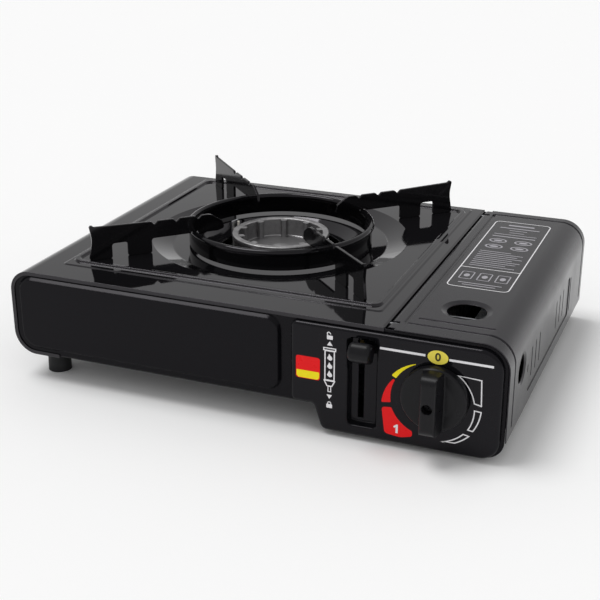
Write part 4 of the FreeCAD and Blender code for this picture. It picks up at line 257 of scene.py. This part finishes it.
MATERIALS = {
    "enamel": enamel("gloss_enamel", ENAMEL, 0.03, 0.08, 0.5, 0.6),
    "support_enamel": enamel("support_enamel", SUPPORT_ENAMEL, 0.06, 0.14, 0.3, 0.6, 0.2),
    "front_enamel": enamel("front_enamel", FRONT_ENAMEL, 0.12, 0.22, 0.13, 1.2),
    "lid_enamel": enamel("lid_enamel", LID_ENAMEL, 0.2, 0.28, 0.4, 0.6, 0.1),
    "fascia": enamel("fascia_enamel", FASCIA, 0.05, 0.1, 0.18, 0.8, 0.05),
    "plastic": surface("moulded_plastic", PLASTIC, 0.32, variation=0.25, grain=500.0, relief=0.22,
                       relief_depth=0.03, relief_grain=2200.0, specular=0.2, edge=1.5),
    "steel": spangled_steel(),
    "zinc": surface("cast_zinc", ZINC, 0.42, 1.0, variation=0.2, grain=150.0, rough_spread=0.1,
                    relief=0.3, relief_depth=0.05, relief_grain=1400.0),
    # The crown and the cup turn darker towards the bottom: soot and painted shade of the burner's hollow.
    "crown_alloy": cast_alloy("crown_alloy", 0.062, 0.078),
    "cup_alloy": cast_alloy("cup_alloy", 0.0, 0.090),
    "aluminium": surface("rolled_aluminium", ALUMINIUM, 0.3, 1.0, variation=0.08, grain=120.0),
    "brass": surface("turned_brass", BRASS, 0.25, 1.0, variation=0.12, grain=220.0),
    "rubber": surface("rubber", RUBBER, 0.7, variation=0.3, grain=300.0, relief=0.4,
                      relief_depth=0.05, relief_grain=1500.0, specular=0.3),
    "ivory": surface("ivory_plastic", IVORY, 0.4, variation=0.06, grain=300.0),
    "lead": surface("lead_cover", LEAD_RED, 0.45, variation=0.12, grain=400.0),
    "ceramic": surface("glazed_ceramic", CERAMIC, 0.2, variation=0.05, grain=500.0),
    "screw": surface("plated_screw", STEEL, 0.3, 1.0, variation=0.15, grain=600.0),
    # Dark screws: the knob screw's darkness is painted shade of its deep hole.
    "black_and_shade_screw": surface("blackened_and_painted_shade_screw", SCREW_BLACK_AND_SHADE, 0.35, 1.0, variation=0.2, grain=600.0),
    "white": ink("white_ink", INK_WHITE),
    "yellow": ink("yellow_ink", INK_YELLOW),
    "pale_yellow": ink("pale_yellow_ink", INK_PALE_YELLOW),
    "red": ink("red_ink", INK_RED),
    "grey": ink("grey_ink", INK_GREY),
    "dark": ink("dark_ink", INK_DARK),
}

NODE_MATERIALS = {
    "enamel": ["top_plate", "rear_panel", "base_pan"],
    "support_enamel": ["pan_support_ring", "pan_support_arm_front_left", "pan_support_arm_front_right",
                       "pan_support_arm_rear_left", "pan_support_arm_rear_right"],
    "front_enamel": ["front_panel"],
    "lid_enamel": ["cartridge_lid"],
    "fascia": ["control_panel"],
    "plastic": ["knob", "lever_cap"],
    "steel": ["heat_divider", "lid_hinge_pins", "lid_catch", "cartridge_tray", "regulator_bracket",
              "jet_bracket", "burner_bracket", "electrode_bracket", "cartridge_clamp", "lock_lever",
              "clamp_guide_rods", "lever_pivot_pin", "valve_shaft", "igniter_cam"],
    "zinc": ["regulator_body", "diaphragm_cover"],
    "crown_alloy": ["burner_crown"],
    "cup_alloy": ["burner_cup", "mixing_tube"],
    "aluminium": ["heat_transfer_plate"],
    "brass": ["inlet_nozzle", "gas_pipe", "gas_jet"],
    "rubber": ["inlet_seal", "foot_front_left", "foot_front_right", "foot_rear_left",
               "foot_rear_right"],
    "ivory": ["piezo_igniter"],
    "lead": ["igniter_lead"],
    "ceramic": ["spark_electrode"],
    "screw": ["regulator_screws", "burner_screws", "case_screws", "control_panel_screws"],
    # The knob screw is dark as painted shade of the knob's deep hole.
    "black_and_shade_screw": ["knob_screw", "rear_screws"],
}


def dress_nodes():
    for name, members in NODE_MATERIALS.items():
        for member in members:
            for slot in nodes[member].material_slots:
                slot.material = MATERIALS[name]


# Places of the printed marks, in millimetres. On the control panel they are to the right of its
# left edge and above its lower edge, and on the lid to the right and to the rear of the chart's
# front left corner.

panel_low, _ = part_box("control_panel")
lid_low, lid_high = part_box("cartridge_lid")
PRINT_LIFT = 0.04
PRINT_THICK = 0.05
OVER_INK = PRINT_THICK * 1.5
DIAL_X = 90.7
DIAL_Z = 31.6
DIAL_RADIUS = 25.6
ZERO_X = 93.4
ZERO_Z = 61.9
ONE_X = 69.4
ONE_Z = 10.4
BADGE_LEFT = 3.9
BADGE_RIGHT = 19.7
BADGE_LOW = 33.6
BADGE_SPLIT = 39.0
BADGE_HIGH = 48.6
BADGE_RIM = 0.4
BADGE_CORNER = 1.2
CAN_X = 26.0
CHART_FROM_SEAM = 14.0
CHART_FROM_FRONT = 82.0
CHART_WIDTH = 41.2
CHART_MIDDLE = CHART_WIDTH / 2
CHART_LENGTH = 142.0
CHART_DIVIDER = 37.0
CHART_CORNER = 5.0
CHART_LINE = 0.75
CHART_BAR = 1.1
CHART_BOLD_BAR = 1.6
CHART_HEADING = 2.6


def panel_point(u, v, lift=0.0):
    return Vector((panel_low.x + u * MM, panel_low.y - (PRINT_LIFT + lift) * MM, panel_low.z + v * MM))


def chart_point(u, v, lift=0.0):
    return Vector((lid_low.x + (CHART_FROM_SEAM + u) * MM, lid_low.y + (CHART_FROM_FRONT + v) * MM,
                   lid_high.z + (PRINT_LIFT + lift) * MM))


# Outlines

def rectangle(u0, u1, v0, v1):
    return [(u0, v0), (u1, v0), (u1, v1), (u0, v1)]


def ellipse(u, v, half_u, half_v, steps=40):
    turns = [math.tau * i / steps for i in range(steps)]
    return [(u + half_u * math.cos(turn), v + half_v * math.sin(turn)) for turn in turns]


def rounded(corners, radius, steps=5):
    """A polygon with its corners rounded."""
    points = []
    count = len(corners)
    for i, corner in enumerate(corners):
        here = Vector(corner)
        before = Vector(corners[i - 1]) - here
        after = Vector(corners[(i + 1) % count]) - here
        run = min(radius, before.length * 0.45, after.length * 0.45)
        start = here + before.normalized() * run
        end = here + after.normalized() * run
        for k in range(steps + 1):
            t = k / steps
            points.append(tuple(start * (1 - t) ** 2 + here * 2 * t * (1 - t) + end * t ** 2))
    return points


def inset(outline, width):
    """The outline moved inwards by width."""
    count = len(outline)
    area = sum(outline[i][0] * outline[(i + 1) % count][1] - outline[(i + 1) % count][0] * outline[i][1]
               for i in range(count))
    side = 1 if area > 0 else -1
    moved = []
    for i in range(count):
        before, here, after = Vector(outline[i - 1]), Vector(outline[i]), Vector(outline[(i + 1) % count])
        first, second = (here - before).normalized(), (after - here).normalized()
        normal = Vector((-first.y - second.y, first.x + second.x)) * side
        stretch = max(0.35, 1 + first.dot(second))
        moved.append(tuple(here + normal * width / stretch))
    return moved


def dial(radius, angle):
    turn = math.radians(angle)
    return (DIAL_X + radius * math.cos(turn), DIAL_Z + radius * math.sin(turn))


def dial_arc(start, end, start_radius, end_radius, steps=12):
    """Points round the dial from one angle to another."""
    return [dial(start_radius + (end_radius - start_radius) * i / steps, start + (end - start) * i / steps)
            for i in range(steps + 1)]


def flame(u, v, size):
    """A drop with its tip bent to the left."""
    corners = [(0.0, -0.5), (0.38, -0.32), (0.36, 0.02), (0.08, 0.26)]
    corners += [(-0.06, 0.56), (-0.2, 0.14), (-0.4, -0.14)]
    return rounded([(u + x * size, v + y * size) for x, y in corners], 0.3 * size, 4)


# Printed pieces

def slab(outline, place, lift=0.0):
    """Corners and faces of a thin closed layer with this outline."""
    count = len(outline)
    corners = [place(u, v, lift + PRINT_THICK) for u, v in outline]
    corners += [place(u, v, lift) for u, v in outline]
    faces = [list(range(count)), list(range(2 * count - 1, count - 1, -1))]
    faces += [[i, (i + 1) % count, count + (i + 1) % count, count + i] for i in range(count)]
    return corners, faces


def hoop(outline, place, width, lift=0.0):
    """Corners and faces of a thin closed line that follows the outline inside."""
    count = len(outline)
    corners = []
    for depth in (lift, lift + PRINT_THICK):
        for loop in (outline, inset(outline, width)):
            corners += [place(u, v, depth) for u, v in loop]
    outer, inner, outer_top, inner_top = (k * count for k in range(4))
    faces = []
    for i in range(count):
        j = (i + 1) % count
        faces += [[outer + i, outer + j, inner + j, inner + i],
                  [outer_top + i, inner_top + i, inner_top + j, outer_top + j],
                  [outer + i, outer_top + i, outer_top + j, outer + j],
                  [inner + i, inner + j, inner_top + j, inner_top + i]]
    return corners, faces


def ink_piece(name, layers, look, body):
    """One printed piece made of layers that stand apart."""
    corners, faces = [], []
    for layer_corners, layer_faces in layers:
        start = len(corners)
        corners += [tuple(corner) for corner in layer_corners]
        faces += [[start + i for i in face] for face in layer_faces]
    data = bpy.data.meshes.new(name)
    data.from_pydata(corners, [], faces)
    shape = bmesh.new()
    shape.from_mesh(data)
    bmesh.ops.recalc_face_normals(shape, faces=shape.faces)
    shape.to_mesh(data)
    shape.free()
    data.materials.append(MATERIALS[look])
    made = bpy.data.objects.new(name, data)
    bpy.context.scene.collection.objects.link(made)
    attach(made, body)


def printed(name, outline, look, lift=0.0):
    ink_piece(name, [slab(outline, panel_point, lift)], look, "casing")


def numeral(name, text, u, v, height, look):
    """A printed number that stands upright on the panel."""
    data = bpy.data.curves.new(name, "FONT")
    data.body = text
    data.size = height * MM * 1.4
    data.align_x = "CENTER"
    data.align_y = "CENTER"
    data.extrude = PRINT_THICK * MM / 2
    data.offset = 0.2 * MM
    made = bpy.data.objects.new(name, data)
    bpy.context.scene.collection.objects.link(made)
    made.rotation_euler = (math.radians(90), 0, 0)
    made.location = panel_point(u, v, PRINT_THICK * 2)
    data.materials.append(MATERIALS[look])
    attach(made, "casing")


def print_dial():
    """Off line with its zero, and the flame sizes that the knob's bar points at."""
    printed("dial_line_left", rectangle(57.7, 85.8, 61.3, 62.8), "white")
    printed("dial_line_right", rectangle(100.2, 126.6, 60.7, 62.2), "white")
    printed("zero_badge", ellipse(ZERO_X, ZERO_Z, 6.3, 4.4), "pale_yellow")
    numeral("zero", "0", ZERO_X, ZERO_Z, 5.0, "dark")
    low = dial_arc(114.0, 151.0, DIAL_RADIUS, DIAL_RADIUS) + dial_arc(151.0, 114.0, 28.8, 26.0)
    printed("low_flame_arc", rounded(low, 0.8, 2), "yellow")
    middle = dial_arc(154.0, 189.0, DIAL_RADIUS, DIAL_RADIUS) + dial_arc(189.0, 154.0, 31.6, 26.8)
    printed("middle_flame_arc", rounded(middle, 0.8, 2), "red")
    high = [dial(32.0, 194.5)] + dial_arc(196.5, 241.7, 25.8, 23.9)
    high += [(79.6, 7.0), (72.0, 5.0), (62.0, 6.2)]
    printed("high_flame_area", rounded(high, 2.2), "red")
    one = [(-1.8, 1.3), (0.1, 2.9), (1.1, 2.9), (1.1, -2.9), (-0.3, -2.9), (-0.3, 1.2), (-1.2, 0.4)]
    printed("one", [(ONE_X + x, ONE_Z + y) for x, y in one], "white", OVER_INK)


def print_scale():
    """White outlined steps on the right of the knob, from wide to narrow."""
    upper = dial_arc(9.4, 55.4, 25.8, 25.6) + [(120.4, 52.1), (121.1, 34.8)]
    middle = dial_arc(-31.4, 0.9, 26.0, 25.7) + dial_arc(0.0, -28.7, 30.5, 29.5)
    lower = dial_arc(-75.4, -39.2, 25.0, 25.8) + dial_arc(-35.3, -57.4, 29.8, 28.4)
    for name, outline in (("scale_upper", upper), ("scale_middle", middle), ("scale_lower", lower)):
        ink_piece(name, [hoop(outline, panel_point, 0.75)], "white", "casing")


def padlock(name, height, turn):
    """A small lock above or below the can, its shackle turned about its left foot."""
    body = rounded(rectangle(CAN_X - 1.9, CAN_X + 1.9, height - 1.4, height + 1.2), 0.4, 3)
    shackle = [(-1.3, 0.9), (-1.3, 2.0), (-0.7, 3.0), (0.7, 3.0), (1.3, 2.0), (1.3, 0.9)]
    shackle += [(0.75, 0.9), (0.75, 1.9), (0.4, 2.4), (-0.4, 2.4), (-0.75, 1.9), (-0.75, 0.9)]
    foot_x, foot_y = shackle[0]
    sine, cosine = math.sin(math.radians(turn)), math.cos(math.radians(turn))
    turned = []
    for x, y in shackle:
        along, up = x - foot_x, y - foot_y
        turned.append((CAN_X + foot_x + along * cosine - up * sine,
                       height + foot_y + along * sine + up * cosine))
    layers = [slab(body, panel_point), slab(turned, panel_point, OVER_INK)]
    ink_piece(name, layers, "white", "casing")


def print_lever_marks():
    """Gas can between two arrows, with an open and a closed lock."""
    shoulder = [(CAN_X - 4.0, 35.0), (CAN_X - 1.8, 30.8), (CAN_X + 1.8, 30.8), (CAN_X + 4.0, 35.0)]
    can = [hoop(rectangle(CAN_X - 3.4, CAN_X + 3.4, 34.6, 55.0), panel_point, 0.8),
           hoop(rectangle(CAN_X - 4.2, CAN_X + 4.2, 54.6, 56.8), panel_point, 0.7, OVER_INK),
           hoop(shoulder, panel_point, 0.7, OVER_INK),
           hoop(rectangle(CAN_X - 1.2, CAN_X + 1.2, 27.0, 31.2), panel_point, 0.6)]
    ink_piece("can_outline", can, "white", "casing")
    flames = [slab(flame(CAN_X, height, 4.6), panel_point) for height in (39.2, 44.8, 50.4)]
    ink_piece("can_flames", flames, "white", "casing")
    printed("arrow_up", [(CAN_X - 1.8, 58.2), (CAN_X + 1.8, 58.2), (CAN_X, 61.0)], "white")
    printed("arrow_down", [(CAN_X - 1.8, 25.2), (CAN_X + 1.8, 25.2), (CAN_X, 22.4)], "white")
    padlock("open_lock", 63.6, 32.0)
    padlock("closed_lock", 17.6, 0.0)


def print_badge():
    """Bare two-colour badge left of the lever: a red field with a yellow foot."""
    field = rectangle(BADGE_LEFT, BADGE_RIGHT, BADGE_LOW, BADGE_HIGH)
    printed("badge_red", rounded(field, 1.8), "red")
    left, right, low = BADGE_LEFT + BADGE_RIM, BADGE_RIGHT - BADGE_RIM, BADGE_LOW + BADGE_RIM
    foot = [(left, BADGE_SPLIT), (left, low + BADGE_CORNER), (left + BADGE_CORNER, low),
            (right - BADGE_CORNER, low), (right, low + BADGE_CORNER), (right, BADGE_SPLIT)]
    printed("badge_yellow", rounded(foot, 0.6, 3), "yellow", OVER_INK)


def bar(u, v, width, height=CHART_BAR):
    """A rounded bar with its middle at u, v on the lid's chart."""
    outline = rectangle(u - width / 2, u + width / 2, v - height / 2, v + height / 2)
    return slab(rounded(outline, 0.5, 3), chart_point)


def chart_heading():
    """Bars centred across the top of the chart, the first one bold."""
    rows = ((134.0, 19.0, CHART_HEADING), (127.5, 29.0, CHART_BOLD_BAR), (122.5, 13.0, CHART_BAR),
            (117.5, 11.0, CHART_BAR), (112.5, 31.0, CHART_BAR), (107.5, 31.0, CHART_BOLD_BAR))
    return [bar(CHART_MIDDLE, v, width, height) for v, width, height in rows]


def chart_lines():
    """Bars that start together, like the lines of a paragraph, and two centred ones at the foot."""
    left, top, pitch = 4.5, 73.0, 3.8
    widths = (22, 31, 28, 32, 26, 32, 30, 24, 31)
    lines = [bar(left + width / 2, top - pitch * i, width) for i, width in enumerate(widths)]
    return lines + [bar(CHART_MIDDLE, 8.5, 29.0), bar(CHART_MIDDLE, 5.0, 22.0)]


def print_chart():
    """Framed chart on the lid: bars, ovals and squares, with nothing written on it."""
    outline = rounded(rectangle(0, CHART_WIDTH, 0, CHART_LENGTH), CHART_CORNER, 8)
    divider = rectangle(CHART_LINE, CHART_WIDTH - CHART_LINE, CHART_DIVIDER, CHART_DIVIDER + CHART_LINE)
    frame_layers = [hoop(outline, chart_point, CHART_LINE), slab(divider, chart_point)]
    ink_piece("chart_frame", frame_layers, "white", "lid")
    ink_piece("chart_bars", chart_heading() + chart_lines(), "grey", "lid")
    oval_places = [(u, v) for u in (11.6, 29.6) for v in (84.5, 97.5)]
    figures = [hoop(ellipse(u, v, 6.4, 4.4, 24), chart_point, 1.2) for u, v in oval_places]
    figures += [slab(ellipse(u, v, 3.2, 1.8, 16), chart_point) for u, v in oval_places]
    square_places = (8.6, CHART_MIDDLE, CHART_WIDTH - 8.6)
    figures += [hoop(rounded(rectangle(u - 4.4, u + 4.4, 15.0, 29.0), 1.6, 4), chart_point, 0.8)
                for u in square_places]
    figures += [slab(ellipse(u, 22.0, 2.0, 2.8, 16), chart_point) for u in square_places]
    ink_piece("chart_figures", figures, "grey", "lid")


# Camera, floor and light

def aim(made, back):
    """Turns a camera or lamp so that its own back points along this direction."""
    made.rotation_mode = "QUATERNION"
    made.rotation_quaternion = (-back).to_track_quat("-Z", "Y")


def make_camera():
    data = bpy.data.cameras.new("camera")
    data.lens = CAMERA_LENS
    data.sensor_width = CAMERA_SENSOR
    data.clip_start = CAMERA_NEAR
    data.clip_end = CAMERA_FAR
    made = bpy.data.objects.new("camera", data)
    bpy.context.scene.collection.objects.link(made)
    azimuth, elevation = math.radians(CAMERA_AZIMUTH), math.radians(CAMERA_ELEVATION)
    back = Vector((math.sin(azimuth) * math.cos(elevation), -math.cos(azimuth) * math.cos(elevation),
                   math.sin(elevation)))
    made.location = CAMERA_PLACE
    aim(made, back)
    bpy.context.scene.camera = made


def make_floor():
    data = bpy.data.meshes.new("floor")
    corners = [(u, v, 0) for u, v in rectangle(-FLOOR_REACH, FLOOR_REACH, -FLOOR_REACH, FLOOR_REACH)]
    data.from_pydata(corners, [], [[0, 1, 2, 3]])
    floor = bpy.data.objects.new("floor", data)
    bpy.context.scene.collection.objects.link(floor)
    look, _, _, shader = material("studio_floor")
    shader.inputs["Base Color"].default_value = (*FLOOR, 1)
    shader.inputs["Roughness"].default_value = 0.9
    shader.inputs["Specular IOR Level"].default_value = 0.1
    data.materials.append(look)


def make_world():
    """Even grey light that turns to the floor's white towards the horizon."""
    world = bpy.data.worlds.new("studio")
    bpy.context.scene.world = world
    world.use_nodes = True
    tree = world.node_tree
    background = tree.nodes["Background"]
    coords = tree.nodes.new("ShaderNodeTexCoord")
    direction = tree.nodes.new("ShaderNodeSeparateXYZ")
    tree.links.new(coords.outputs["Generated"], direction.inputs["Vector"])
    strength = spread(tree.nodes, tree.links, direction.outputs["Z"], HORIZON, STUDIO, 0.0, HORIZON_END)
    tree.links.new(strength.outputs["Result"], background.inputs["Strength"])
    background.inputs["Color"].default_value = (1, 1, 1, 1)


def make_lamp():
    """One wide, far lamp above, which lights the floor evenly and shines in the rounded edges."""
    data = bpy.data.lights.new("lamp", "SUN")
    data.energy = LAMP
    data.angle = math.radians(LAMP_SPREAD)
    made = bpy.data.objects.new("lamp", data)
    bpy.context.scene.collection.objects.link(made)
    made.location = LAMP_FROM * LAMP_DISTANCE
    aim(made, LAMP_FROM)


make_camera()
make_floor()
make_world()
make_lamp()
dress_nodes()
print_dial()
print_scale()
print_lever_marks()
print_badge()
print_chart()
bpy.context.scene.view_settings.view_transform = "Standard"
